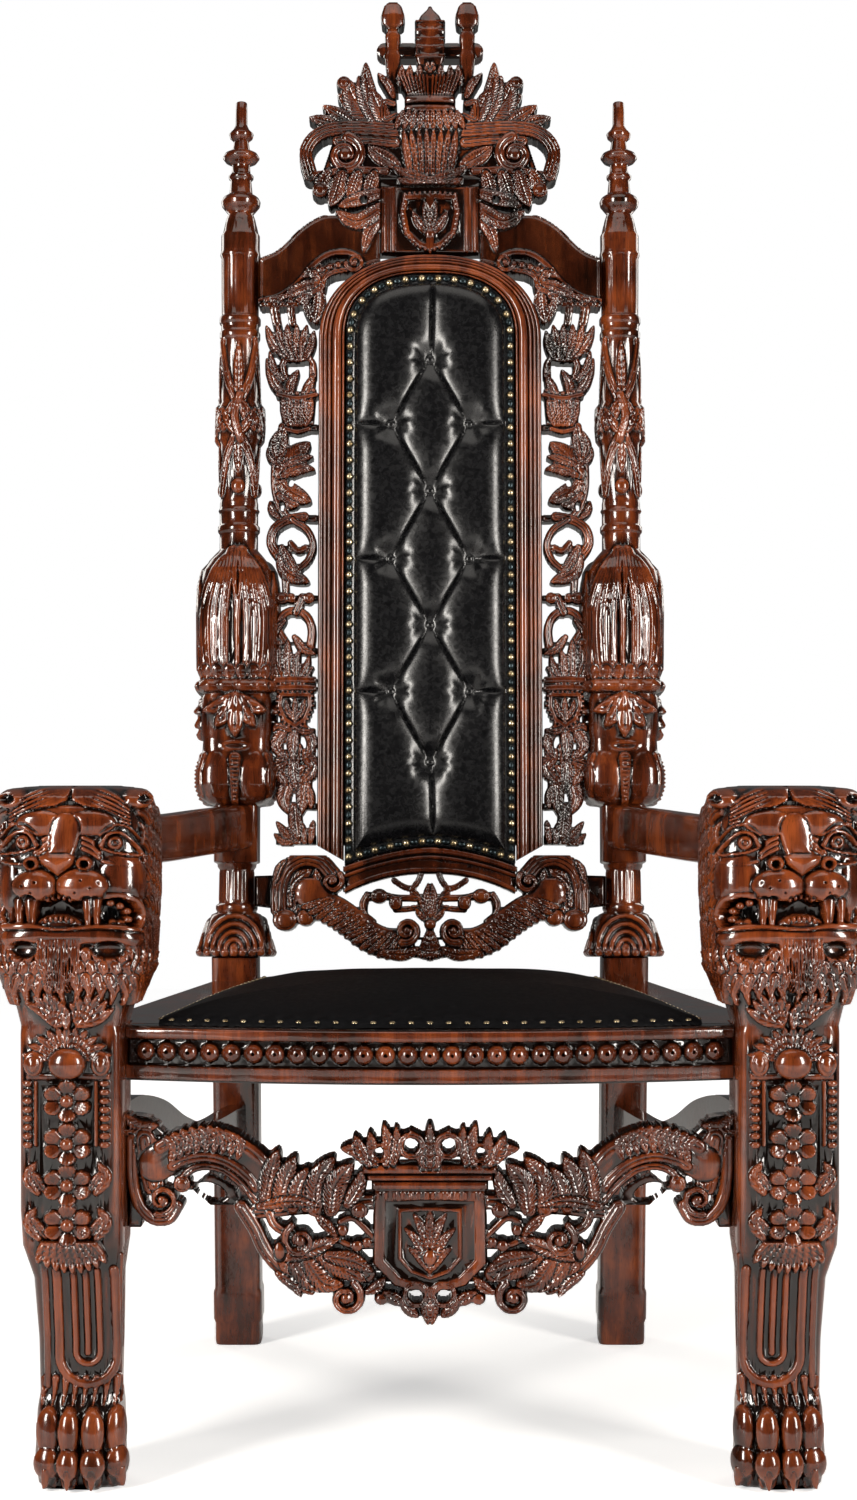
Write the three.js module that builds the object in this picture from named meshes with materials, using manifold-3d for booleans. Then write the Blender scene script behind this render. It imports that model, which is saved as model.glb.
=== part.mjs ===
// A carved lion throne: tall arched back with pierced fretwork and a crowned crest, two lion legs that
// carry the arms, an upholstered seat and back, and a pierced front stretcher. Millimetres, +Z up,
// the sitter faces -Y, and the origin is on the floor under the middle of the whole.

import * as THREE from 'three';
import { mergeVertices } from 'three/addons/utils/BufferGeometryUtils.js';
import Module from 'manifold-3d';

const wasm = await Module();
wasm.setup();

// ---- driving dimensions -------------------------------------------------------------------------
const GAP = 0.3;                 // clearance between pieces that touch
const RAKE = Math.atan(95 / 1210); // lean of the back
const BACK_FOOT = { y: 265, z: 480 }; // where the raked front face of the back starts
const POST_X = 260;              // post axis from the middle
const POST_AXIS = 30;            // post axis behind the front face of the back
const BOARD = 34;                // thickness of the carved boards of the back
const STILE_OUT = 151;           // back frame, half width outside
const STILE_IN = 116;            // back frame, half width inside
const SPRING = 884;              // height up the back where the arch starts
const ARCH_OUT = 119;            // rise of the arch outside
const ARCH_IN = 93;              // rise of the arch inside
const PLAQUE = { half: 68, low: 1003.3, high: 1098 };
const RAIL = { low: 438, high: 497, half: 331.5, thick: 34 };
const BOW = { end: -335, middle: -384 }; // front face of the front rail
const LEG = { x: 388, inner: 332, back: -272 };
const STRETCH_FACE = -330;       // front face of the front stretcher
const BEADS = 27;                // beads along the front rail

// ---- materials ----------------------------------------------------------------------------------
const wood = new THREE.MeshStandardMaterial({ color: 0x6a382a, roughness: 0.3, metalness: 0 });
const leather = new THREE.MeshStandardMaterial({ color: 0x17171a, roughness: 0.45, metalness: 0 });
const cloth = new THREE.MeshStandardMaterial({ color: 0x101012, roughness: 0.9, metalness: 0 });

// ---- solids -------------------------------------------------------------------------------------
function shareVertices(geometry) {
  geometry.deleteAttribute('normal');
  geometry.deleteAttribute('uv');
  return mergeVertices(geometry, 1e-4);
}

function toSolid(geometry) {
  return new wasm.Manifold(new wasm.Mesh({
    numProp: 3,
    vertProperties: new Float32Array(geometry.attributes.position.array),
    triVerts: new Uint32Array(geometry.index.array),
  }));
}

function toGeometry(solid) {
  const mesh = solid.getMesh();
  const geometry = new THREE.BufferGeometry();
  geometry.setAttribute('position', new THREE.BufferAttribute(new Float32Array(mesh.vertProperties), 3));
  geometry.setIndex(new THREE.BufferAttribute(new Uint32Array(mesh.triVerts), 1));
  return geometry;
}

function join(geometries) {
  return geometries.map(toSolid).reduce((whole, next) => whole.add(next));
}

// For flat-faced boards: each join starts from plain geometry again, so that faces which now lie in one
// plane become one face.
function joinFlat(geometries) {
  return geometries.map(toSolid).reduce((whole, next) => toSolid(toGeometry(whole)).add(next));
}

// Skin over rings of equal length, closed at both ends by fans; rings run anticlockwise seen from the end.
function loft(rings) {
  const count = rings[0].length;
  const position = rings.flat().flatMap((p) => [p.x, p.y, p.z]);
  const index = [];
  for (let r = 0; r + 1 < rings.length; r += 1) {
    for (let i = 0; i < count; i += 1) {
      const a = r * count + i;
      const b = r * count + ((i + 1) % count);
      index.push(a, b, b + count, a, b + count, a + count);
    }
  }
  const last = (rings.length - 1) * count;
  for (let i = 1; i + 1 < count; i += 1) {
    index.push(0, i + 1, i, last, last + i, last + i + 1);
  }
  const geometry = new THREE.BufferGeometry();
  geometry.setAttribute('position', new THREE.Float32BufferAttribute(position, 3));
  geometry.setIndex(index);
  return volume(geometry) < 0 ? flip(geometry) : geometry;
}

function volume(geometry) {
  const p = geometry.attributes.position;
  const [a, b, c] = [new THREE.Vector3(), new THREE.Vector3(), new THREE.Vector3()];
  let sum = 0;
  for (let i = 0; i < geometry.index.count; i += 3) {
    a.fromBufferAttribute(p, geometry.index.getX(i));
    b.fromBufferAttribute(p, geometry.index.getX(i + 1));
    c.fromBufferAttribute(p, geometry.index.getX(i + 2));
    sum += a.dot(b.cross(c));
  }
  return sum;
}

function flip(geometry) {
  const index = geometry.index.array;
  for (let i = 0; i < index.length; i += 3) {
    [index[i + 1], index[i + 2]] = [index[i + 2], index[i + 1]];
  }
  return geometry;
}

function mirror(geometry) {
  return flip(geometry.clone().scale(-1, 1, 1));
}

// A flat board cut to an outline of [across, up] points, from depth `front` to depth `back`.
function board(outline, front, back) {
  const shape = new THREE.Shape(outline.map(([u, v]) => new THREE.Vector2(u, v)));
  const geometry = new THREE.ExtrudeGeometry(shape, { depth: back - front, bevelEnabled: false });
  return shareVertices(geometry.rotateX(Math.PI / 2).translate(0, back, 0));
}

function block(u0, u1, v0, v1, front, back) {
  return board([[u0, v0], [u1, v0], [u1, v1], [u0, v1]], front, back);
}

// Stations [across, up, half of the leaf's width as a step sideways] along base, middle and tip.
function stations([base, middle, tip, width], steps) {
  const bend = [0, 1].map((k) => 2 * middle[k] - (base[k] + tip[k]) / 2);
  return Array.from({ length: steps + 1 }, (_, i) => {
    const t = i / steps;
    const at = [0, 1].map((k) => (1 - t) ** 2 * base[k] + 2 * t * (1 - t) * bend[k] + t * t * tip[k]);
    const way = [0, 1].map((k) => (1 - t) * (bend[k] - base[k]) + t * (tip[k] - bend[k]));
    const size = Math.hypot(...way) || 1;
    const half = width * 0.5 * Math.sin(Math.PI * (0.22 + 0.78 * t)) / size;
    return { at, side: [-way[1] * half, way[0] * half], t };
  });
}

// A flat-faced leaf of a pierced board, pointed at both ends: its root is inside the stem that it grows from.
function leaf(shape, front, back) {
  const [root, widest, tip] = stations(shape, 2);
  const edge = (k) => [widest.at[0] + k * widest.side[0], widest.at[1] + k * widest.side[1]];
  return board([root.at, edge(-1), tip.at, edge(1)], front, back);
}

// A leaf, lock or ridge in the round: a wedge that falls away from its middle line and to its tip.
function ridge(shape, front, back, steps = 2) {
  return loft(stations(shape, steps).map(({ at, side, t }) => {
    const [du, dv] = t < 1 ? side : stations(shape, steps)[steps - 1].side.map((k) => k * 0.3);
    return [
      new THREE.Vector3(at[0] + du, back, at[1] + dv),
      new THREE.Vector3(at[0] - du, back, at[1] - dv),
      new THREE.Vector3(at[0], back + (front - back) * (1 - 0.45 * t * t), at[1]),
    ];
  }));
}

// A carved ribbon of even width through any number of points.
function ribbon(points, width, front, back, steps = points.length * 2) {
  const curve = new THREE.CatmullRomCurve3(points.map(([u, v]) => new THREE.Vector3(u, 0, v)));
  const rings = [];
  for (let i = 0; i <= steps; i += 1) {
    const at = curve.getPoint(i / steps);
    const way = curve.getTangent(i / steps);
    const [du, dv] = [-way.z * width / 2, way.x * width / 2];
    const side = (k, depth) => new THREE.Vector3(at.x + k * du, depth, at.z + k * dv);
    rings.push([side(1, back), side(-1, back), side(-1, front), side(1, front)]);
  }
  return loft(rings);
}

// A carved boss or volute eye: a faceted button standing on the depth `back`.
function boss([u, v, ru, rv = ru], front, back, sides = 6) {
  const ring = (depth, scale) => Array.from({ length: sides }, (_, i) => {
    const a = (i + 0.5) / sides * 2 * Math.PI;
    return new THREE.Vector3(u + ru * scale * Math.cos(a), depth, v + rv * scale * Math.sin(a));
  });
  return loft([ring(back, 1.04), ring(front, 0.62)]);
}

// A bead cut with four faces, its point at the depth `front`.
function bead(u, v, front) {
  const [radius, depth] = [15, 15];
  const geometry = new THREE.ConeGeometry(radius, depth, 4).rotateY(Math.PI / 4).rotateX(Math.PI);
  return shareVertices(geometry.translate(u, front + depth / 2, v));
}

// A turned column: rows are [height, half width], on an axis at (x, y).
function column(profile, x, y, sides) {
  return loft(profile.map(([z, half]) => {
    const radius = half / Math.cos(Math.PI / sides);
    return Array.from({ length: sides }, (_, i) => {
      const a = (i + 0.5) / sides * 2 * Math.PI;
      return new THREE.Vector3(x + radius * Math.cos(a), y + radius * Math.sin(a), z);
    });
  }));
}

// An oblong section at height z with its corners cut; a cut of OCTAGON halves makes it round.
const OCTAGON = 2 - Math.SQRT2;
function section(x, z, half, front, back, cut) {
  const corners = [[half, back - cut], [half - cut, back], [-half + cut, back], [-half, back - cut],
    [-half, front + cut], [-half + cut, front], [half - cut, front], [half, front + cut]];
  return corners.map(([dx, y]) => new THREE.Vector3(x + dx, y, z));
}

const superArch = (half, rise, power, steps) => Array.from({ length: steps + 1 }, (_, i) => {
  const a = Math.PI * i / steps;
  const reach = (k) => Math.sign(k) * Math.abs(k) ** (2 / power);
  return [half * reach(Math.cos(a)), SPRING + rise * reach(Math.sin(a))];
});

// ---- the back, in its own leaning frame: across, depth (0 is the front face), up the back ----------
// Leaves are [base, middle, tip, width] and are given for the left half; the right half is mirrored.
const CREST_LEAVES = [
  [[-64, 1176], [-104, 1206], [-117, 1252], 48],
  [[-70, 1176], [-90, 1224], [-87, 1271], 30],
  [[-94, 1178], [-122, 1194], [-147, 1210], 24],
  [[-112, 1172], [-142, 1184], [-166, 1193], 26],
  [[-140, 1118], [-149, 1098], [-155, 1080], 28],
  [[-112, 1118], [-124, 1092], [-136, 1068], 34],
  [[-74, 1118], [-88, 1098], [-104, 1078], 40],
];
const CREST_OVERLAY = [ // leaves that lie on the shoulder boards
  [[-60, 1078], [-98, 1048], [-130, 1060], 30],
  [[-62, 1062], [-82, 1034], [-90, 1004], 20],
];

function crestCarving() {
  const { half, low, high } = PLAQUE;
  const [base, raised, proud, rear] = [-2, -8, -14, 28];
  const side = [
    ...CREST_LEAVES.map((shape) => leaf(shape, base, rear)),
    ...CREST_OVERLAY.map((shape) => leaf(shape, raised, 5 - GAP)),
    ribbon([[-42, 1170], [-116, 1176], [-166, 1154], [-160, 1110]], 22, raised, rear, 4),
    ribbon([[-92, 1114], [-100, 1154], [-134, 1152], [-142, 1114]], 24, raised, rear, 3),
    block(-142, -36, 1112, 1168, base, rear),
    block(-156, -56, 1106, 1121, raised, rear),
    boss([-119, 1240, 11], raised, rear, 5),
    block(-54, -10, 1275, 1300, 2, 20),
    column([[1196, 6], [1300, 12], [1313, 8], [1330, 17], [1356, 8]], -52, 11, 6),
  ];
  return toGeometry(joinFlat([
    ...side,
    ...side.map(mirror),
    block(-half, half, low, high, base, BOARD),
    board([[-34, high - 4], [34, high - 4], [45, 1178], [-45, 1178]], proud, rear),
    board([[-50, 1176], [50, 1176], [36, 1202], [-36, 1202]], raised, rear),
    block(-35, 35, 1200, 1224, proud, rear),
    board([[-32, 1222], [32, 1222], [46, 1250], [30, 1266], [18, 1250], [0, 1276], [-18, 1250], [-30, 1266],
      [-46, 1250]], raised, rear),
    column([[1256, 15], [1290, 20], [1326, 20], [1350, 2]], 0, 10, 6),
    board([[-38, high - 12], [-38, 1030], [0, low + 4], [38, 1030], [38, high - 12]], raised, base + 1),
  ]));
}

const SHOULDER_TOP = [[-233.4, 998], [-207, 1010], [-176, 1040], [-146, 1057], [-112, 1059], [-68.3, 1059]];
const SHOULDER_LIP = [[-227, 940], [-205, 946], [-180, 963], [-158, 990], [-134, 1005], [-108, 1006]];

function shoulder() {
  const inner = [[-92, 986], [-68.3, 995]];
  return toGeometry(joinFlat([
    board([[-233.4, 938], ...SHOULDER_LIP, ...inner, ...SHOULDER_TOP.toReversed()], 5, 5 + BOARD),
    ribbon(SHOULDER_LIP, 12, -2, 20, 4),
    boss([-102, 994, 13, 14], -6, 20, 5),
    leaf([[-178, 964], [-158, 948], [-150, 909], 24], 0, 24),
    block(-222, -156, 936, 950, 0, 24),
    block(-216, -203, 908.4, 944, 0, 24),
    block(-194, -183, 908.4, 944, 0, 24),
  ]));
}

const FRET_LEAVES = [
  [[-190, 856], [-212, 880], [-224, 907], 24],
  [[-184, 856], [-190, 880], [-192, 908], 34],
  [[-172, 856], [-166, 876], [-161, 896], 22],
  [[-200, 808], [-214, 840], [-222, 871], 24],
  [[-176, 808], [-166, 826], [-158, 850], 24],
  [[-204, 696], [-190, 722], [-162, 744], 34],
  [[-206, 680], [-184, 676], [-158, 660], 28],
  [[-207, 592], [-192, 570], [-160, 550], 24],
  [[-184, 480], [-170, 462], [-151.4, 452], 18],
  [[-190, 412], [-197, 446], [-201, 474], 24],
  [[-176, 412], [-186, 446], [-190, 480], 30],
  [[-176, 412], [-166, 436], [-158, 456], 24],
  [[-197, 368], [-198, 320], [-178, 276], 32],
  [[-164, 368], [-166, 320], [-182, 276], 30],
  [[-190, 330], [-186, 270], [-172, 206], 44],
];
const FRET_TABS = [764, 640, 459, 309, 250]; // heights of the tabs that meet the back frame

function fret() {
  const [base, raised, rear] = [2, -4, 26];
  return toGeometry(joinFlat([
    ...FRET_LEAVES.map((shape) => leaf(shape, base, rear)),
    ribbon([[-200, 832], [-198, 858], [-168, 860], [-160, 834]], 13, base, rear, 3),
    board([[-208, 812], [-203, 766], [-180, 757], [-157, 766], [-155, 812]], raised, rear),
    board([[-207, 416], [-203, 372], [-181, 354], [-158, 372], [-156, 416]], raised, rear),
    ribbon([[-200, 764], [-206, 722], [-210, 674], [-174, 632]], 12, base, rear, 3),
    ribbon([[-160, 632], [-200, 636], [-214, 604], [-196, 580]], 14, base, rear, 3),
    ribbon([[-190, 636], [-160, 612], [-164, 582], [-186, 564]], 11, base, rear, 3),
    block(-200, -188, 532, 574, base, rear),
    block(-208.7, -151.3, 526, 537, base, rear),
    ribbon([[-194, 462], [-200, 492], [-178, 514], [-162, 492], [-163, 460]], 14, base, rear, 4),
    block(-178, -166, 506, 530, base, rear),
    ...FRET_TABS.map((v) => block(-170, -STILE_OUT - GAP, v - 5, v + 5, base, rear)),
    board([[-205, 197.4], [-151.3, 197.4], [-151.3, 228], [-168, 228], [-186, 208], [-206, 230]], base, rear),
  ]));
}

function apron() {
  const [base, raised, proud, rear] = [0, -6, -12, 28];
  const side = [
    block(-234.6, -200, 116, 158, base + 4, rear),
    ribbon([[-203, 104], [-202, 156], [-165, 182], [-129, 156]], 27, raised, rear, 4),
    leaf([[-186, 104], [-176, 142], [-150, 170], 54], base, rear),
    boss([-129, 147, 14], proud, rear, 5),
    boss([-193, 98, 17, 15], proud, rear, 5),
    ribbon([[-156, 132], [-104, 94], [-70, 70], [-34, 62]], 44, raised, rear, 3),
    boss([-31, 85, 16], proud, rear, 5),
    ribbon([[-74, 92], [-86, 114], [-70, 132], [0, 122]], 10, base, rear, 3),
    ribbon([[-46, 150], [-4, 122]], 10, base, rear, 1),
    leaf([[0, 84], [-8, 60], [-14, 42], 24], raised, rear),
  ];
  return toGeometry(joinFlat([
    ...side,
    ...side.map(mirror),
    block(-36, 36, 46, 66, raised, rear),
    leaf([[0, 70], [0, 112], [0, 148], 24], base, rear),
  ]));
}

function bottomRail() {
  const top = (u) => 196 - 25 * Math.abs(u / 113.4) ** 1.7;
  const low = (u) => 160 - 27 * Math.abs(u / 113.4) ** 2.2;
  const across = Array.from({ length: 9 }, (_, i) => 113.4 * (i / 4 - 1));
  const edge = (f, shift) => across.map((u) => [u, f(u) + shift]);
  return toGeometry(joinFlat([
    board([...edge(low, 0), ...edge(top, 0).reverse()], 0, 28),
    board([...edge(top, -13), ...edge(top, -1).reverse()], -6, 2),
  ]));
}

// The moulded side of the frame, and the arch that joins the two sides.
const MOULDING = [[0, 0], [0.15, -6], [0.5, -5], [1, 0]];

function stile() {
  const width = STILE_OUT - STILE_IN;
  const rows = [[198, 178], [SPRING - GAP, SPRING - GAP]];
  return loft(rows.map(([outer, inner]) => {
    const face = MOULDING.map(([k, y]) => new THREE.Vector3(-STILE_OUT + k * width, y,
      outer + k * (inner - outer)));
    return [...face, new THREE.Vector3(-STILE_IN, 28, inner), new THREE.Vector3(-STILE_OUT, 28, outer)];
  }));
}

function arch() {
  const outer = superArch(STILE_OUT, ARCH_OUT, 2.2, 14);
  const inner = superArch(STILE_IN, ARCH_IN, 2.5, 14);
  return loft(outer.map((edge, i) => {
    const at = (k, y) => new THREE.Vector3(edge[0] + k * (inner[i][0] - edge[0]), y,
      edge[1] + k * (inner[i][1] - edge[1]));
    return [...MOULDING.map(([k, y]) => at(k, y)), at(1, 28), at(0, 28)];
  }));
}

function backCushion() {
  const low = Array.from({ length: 9 }, (_, i) => (STILE_IN - GAP) * (i / 4 - 1))
    .map((u) => [u, 196.4 - 25 * Math.abs(u / 113.4) ** 1.7]);
  const outline = [...low, ...superArch(STILE_IN - GAP, ARCH_IN - GAP, 2.5, 14)];
  const ring = (scale, y) => outline.map(([u, v]) => new THREE.Vector3(u * scale, y,
    575 + (v - 575) * (1 - (1 - scale) * 0.35)));
  return loft([ring(1, 27), ring(1, -2), ring(0.84, -12)]);
}

function backBoard() {
  return board([[-135, 199], [135, 199], ...superArch(135, 96, 2.3, 12)], 28 + GAP, 34);
}

// ---- posts, arms and seat, upright in the room's frame ---------------------------------------------
// A point of the leaning back frame, given in the room's frame.
function raked(point) {
  const [c, s] = [Math.cos(RAKE), Math.sin(RAKE)];
  return new THREE.Vector3(point.x, BACK_FOOT.y + point.y * c + point.z * s,
    BACK_FOOT.z + point.z * c - point.y * s);
}

const legFront = (z) => BACK_FOOT.y + (BACK_FOOT.z - z) * 57 / 480; // rear leg splays back below the seat

// Rows are [height up the back, half width, corner cut as a share of the half width].
const POST_ROWS = [
  [49, 31, 0.12], [50, 47, 0.3], [110, 25, OCTAGON], [172, 24, OCTAGON], [175, 30, 0.3], [252, 30, 0.3],
  [256, 50, 0.25], [340, 42, 0.25], [352, 50, 0.25], [392, 43, 0.25], [404, 50, 0.25],
  [560, 49, 0.35], [624, 23, OCTAGON], [634, 29, OCTAGON], [648, 22, OCTAGON],
  [742, 28, OCTAGON], [762, 24, OCTAGON], [890, 25, OCTAGON], [904, 30, OCTAGON], [919, 24, OCTAGON],
  [1004, 26, OCTAGON], [1013, 20, OCTAGON], [1039, 25, OCTAGON], [1065, 17, OCTAGON], [1084, 26, OCTAGON],
  [1100, 13, OCTAGON], [1134, 12, OCTAGON], [1146, 25, OCTAGON], [1160, 10, OCTAGON], [1179, 16, OCTAGON],
  [1187, 8, OCTAGON], [1226, 7, OCTAGON],
];
const REAR_LEG_ROWS = [[0, 32], [74, 33], [76, 31], [460, 31]];

function backPost() {
  const leg = REAR_LEG_ROWS.map(([z, half]) => section(-POST_X, z, half, legFront(z) + 31 - half,
    legFront(z) + 31 + half, 0.12 * half));
  const upper = POST_ROWS.map(([v, half, cut]) => section(-POST_X, v, half, POST_AXIS - half,
    POST_AXIS + half, cut * half).map(raked));
  return loft([...leg, ...upper]);
}

function arm() {
  const [thick, tall] = [40, 60];
  const path = new THREE.CatmullRomCurve3([[-385, -200 + GAP, 708], [-381, -60, 696], [-352, 100, 690],
    [-300, 220, 696], [-262, 268, 701]].map((p) => new THREE.Vector3(...p)));
  const steps = 8;
  const rings = Array.from({ length: steps }, (_, i) => {
    const at = path.getPoint(i / steps);
    const way = i === 0 ? new THREE.Vector3(0, 1, 0) : path.getTangent(i / steps);
    const size = Math.hypot(way.x, way.y);
    const side = (k, up) => new THREE.Vector3(at.x + k * way.y / size * thick / 2,
      at.y - k * way.x / size * thick / 2, at.z + up);
    const soft = [[1, -0.5], [1, 0.36], [0.5, 0.5], [-0.5, 0.5], [-1, 0.36], [-1, -0.5]];
    return soft.map(([k, up]) => side(k, up * tall));
  });
  const end = [[-237, 192], [-237, 244], [-246, 252], [-276, 252], [-285, 244], [-285, 192]]
    .map(([x, v]) => raked(new THREE.Vector3(x, -GAP, v)));
  return loft([...rings, end]);
}

// A level slab with the plan outline [x, y].
function slab(outline, low, high) {
  const shape = new THREE.Shape(outline.map(([x, y]) => new THREE.Vector2(x, y)));
  const geometry = new THREE.ExtrudeGeometry(shape, { depth: high - low, bevelEnabled: false });
  return shareVertices(geometry.translate(0, 0, low));
}

const railFace = (x) => BOW.middle + (BOW.end - BOW.middle) * (x / RAIL.half) ** 2;

function frontRail() {
  const across = Array.from({ length: 7 }, (_, i) => RAIL.half * (i / 3 - 1));
  const edge = (shift) => across.map((x) => [x, railFace(x) + shift]);
  const band = (shift, low, high) => slab([...edge(shift), ...edge(RAIL.thick).reverse()], low, high);
  const pitch = 2 * (RAIL.half - 9) / BEADS;
  const beads = Array.from({ length: BEADS }, (_, i) => {
    const x = (i - (BEADS - 1) / 2) * pitch;
    return bead(x, 468, railFace(x) - 3);
  });
  return toGeometry(join([band(6, RAIL.low, RAIL.high), band(-4, 482, RAIL.high), band(-1, RAIL.low, 455),
    ...beads]));
}

// Runs from the lion leg to the rear leg, and widens inwards behind the front rail to carry the seat.
function sideRail() {
  const [front, rear] = [LEG.back + GAP, legFront(RAIL.high) - GAP];
  const inner = -RAIL.half - GAP;
  const behindRail = [[inner, railFace(inner) + RAIL.thick + 0.4], [-296, -309]];
  const outline = [[-372, front], [inner, front], ...behindRail, [-232, rear], [-288, rear]];
  return slab(outline, RAIL.low, RAIL.high);
}

function backRail() {
  const half = POST_X - 31 - GAP;
  return slab([[-half, 270], [half, 270], [half, 298], [-half, 298]], RAIL.low, RAIL.high);
}

function seatCushion() {
  const [front, rear] = [301, 224];
  const edge = Array.from({ length: 9 }, (_, i) => front * (i / 4 - 1));
  const outline = [...edge.map((x) => [x, railFace(x) + 20]), [rear + 40, 0], [rear, 258], [-rear, 258],
    [-rear - 40, 0]];
  const ring = (scale, z) => outline.map(([x, y]) => new THREE.Vector3(x * scale, -55 + (y + 55) * scale, z));
  return loft([ring(1, RAIL.high + GAP), ring(1, 505), ring(0.86, 522), ring(0.5, 534)]);
}

// ---- front stretcher: leaves as on the back, [across, height], left half ---------------------------
const STRETCHER_LEAVES = [
  [[-182, 300], [-174, 332], [-165, 362], 36],
  [[-156, 294], [-152, 326], [-144, 356], 38],
  [[-128, 292], [-130, 326], [-108, 354], 38],
  [[-100, 292], [-104, 326], [-84, 348], 38],
  [[-196, 288], [-130, 296], [-60, 310], 26],
  [[-166, 232], [-112, 238], [-60, 220], 32],
  [[-146, 242], [-138, 220], [-127, 203], 34],
  [[-112, 244], [-80, 226], [-80, 196], 38],
  [[-156, 240], [-124, 252], [-96, 266], 28],
  [[-56, 340], [-78, 360], [-99, 363], 24],
  [[-44, 340], [-46, 366], [-53, 390], 36],
  [[-20, 216], [-36, 200], [-14, 176], 22],
];

function frontStretcher() {
  const [base, raised, proud, rear] = [4, -4, -12, 32].map((depth) => STRETCH_FACE + depth);
  const ends = [[-331.7, 276], [-322, 276], [-314, 330], [-284, 330], [-284, 366], [-302, 396],
    [-331.7, 400]];
  const side = [
    ...STRETCHER_LEAVES.map((shape) => leaf(shape, base, rear)),
    board(ends, base, rear),
    ribbon([[-320, 350], [-318, 302], [-292, 278], [-276, 304]], 17, base, rear, 3),
    boss([-294, 306, 15], raised, rear, 5),
    ribbon([[-304, 352], [-246, 367], [-196, 346], [-172, 304]], 44, raised, rear, 4),
    ribbon([[-206, 300], [-182, 262], [-156, 226]], 20, base, rear, 3),
    ribbon([[-182, 254], [-160, 276], [-130, 262], [-150, 240]], 14, base, rear, 3),
    boss([-92, 197, 21, 18], raised, rear),
    boss([-77, 295, 11, 10], raised, rear, 5),
    ribbon([[-100, 260], [-86, 282], [-60, 262]], 9, base, rear, 3),
    block(-104, -60, 252, 261, base, rear),
  ];
  return toGeometry(joinFlat([
    ...side,
    ...side.map(mirror),
    board([[-62, 322], [-62, 236], [0, 203], [62, 236], [62, 322], [74, 346], [-74, 346]], raised, rear),
    board([[-35, 302], [-35, 234], [0, 218], [35, 234], [35, 302]], proud, rear),
    leaf([[0, 340], [0, 366], [0, 391], 22], base, rear),
    leaf([[0, 214], [0, 190], [0, 168], 22], base, rear),
  ]));
}

function sideStretcher() {
  const [front, slope] = [LEG.back + GAP, 96 / 546];
  const rear = (z) => legFront(z) - GAP;
  const top = [[front, 398], [-200, 404], [-100, 386], [0, 352], [110, 330], [rear(330), 330]];
  const low = [[rear(284), 284], [150, 282], [40, 296], [-60, 326], [-150, 344], [-222, 330], [-236, 290],
    [front, 280]];
  const shape = new THREE.Shape([...top, ...low].map(([y, z]) => new THREE.Vector2(y, z)));
  const extruded = new THREE.ExtrudeGeometry(shape, { depth: 26, bevelEnabled: false });
  const lean = new THREE.Matrix4().set(slope, 0, 1, -370 - slope * front, 1, 0, 0, 0, 0, 1, 0, 0, 0, 0, 0, 1);
  const geometry = shareVertices(extruded).applyMatrix4(lean);
  return volume(geometry) < 0 ? flip(geometry) : geometry;
}

// ---- lion legs: [height, half width, front face, back face, corner cut, shift of the middle] ---------
const LION_ROWS = [
  [0, 48, -370, -284, 14, 6], [82, 46, -366, -276, 12, 6], [100, 43, -356, -278, 10, 6],
  [226, 47, -362, -274, 8, 4], [270, LEG.x - LEG.inner, -370, LEG.back, 10, 0],
  [500, LEG.x - LEG.inner, -372, LEG.back, 12, 0], [524, 64, -372, -262, 16, 0],
  [560, 79, -374, -236, 24, 0], [640, 82, -374, -200, 26, 0], [740, 82, -372, -200, 26, 0],
  [758, 70, -356, -212, 24, 0],
];
const FLOWERS = [418, 373, 329, 285]; // heights of the four flowers
const FACE_RIDGES = [ // one half of the face and its mane, then the leaf work under it
  [[4, 706], [36, 730], [72, 706], 24],
  [[50, 608], [56, 572], [50, 534], 50],
  [[2, 500], [20, 524], [54, 534], 34],
];

function lionLeg() {
  const side = [
    ...FACE_RIDGES.map((shape) => ridge(shape, -388, -352)),
    boss([48, 699, 12, 9], -384, -360, 5),
    boss([66, 745, 15, 14], -372, -330, 5),
    boss([25, 653, 26, 17], -395, -356, 5),
    boss([37, 459, 11, 14], -384, -356, 5),
    ridge([[10, 276], [28, 250], [36, 226], 34], -378, -356),
    ribbon([[33, 244], [33, 140], [0, 109]], 14, -368, -352, 3),
  ];
  const toes = [-30, -6, 18, 42].map((u, i) => {
    const reach = i % 3 ? -392 : -384;
    const ring = (z, front, half) => [[u - half, -350], [u - half * 0.5, front], [u + half * 0.5, front],
      [u + half, -350]].map(([x, y]) => new THREE.Vector3(x, y, z));
    return loft([ring(0, reach - 4, 11), ring(58, reach + 3, 11), ring(92, -352, 8)]);
  });
  const body = join([
    loft(LION_ROWS.map(([z, half, front, back, cut, shift]) => section(shift, z, half, front, back, cut))),
    ...side,
    ...side.map(mirror),
    ...toes,
    ridge([[0, 744], [0, 706], [0, 660], 48], -396, -356),
    block(-50, 50, 588, 609, -388, -360),
    ridge([[0, 600], [0, 570], [0, 536], 50], -396, -356),
    boss([0, 459, 22, 18], -390, -356),
    ...FLOWERS.map((z) => boss([-3, z, 28, 24], -383, -366)),
    ridge([[0, 276], [0, 248], [0, 222], 34], -382, -356),
  ]);
  const mouth = toSolid(block(-42, 42, 609, 634, -400, -364));
  return toGeometry(body.subtract(mouth)).translate(-LEG.x, 0, 0);
}

// ---- the throne -----------------------------------------------------------------------------------
const throne = new THREE.Group();
const back = new THREE.Group();
back.position.set(0, BACK_FOOT.y, BACK_FOOT.z);
back.rotation.x = -RAKE;
throne.add(back);

function place(group, name, geometry, material = wood) {
  const mesh = new THREE.Mesh(geometry, material);
  mesh.name = name;
  group.add(mesh);
}

function placePair(group, name, geometry) {
  place(group, `${name}_left`, geometry);
  place(group, `${name}_right`, mirror(geometry));
}

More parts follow.
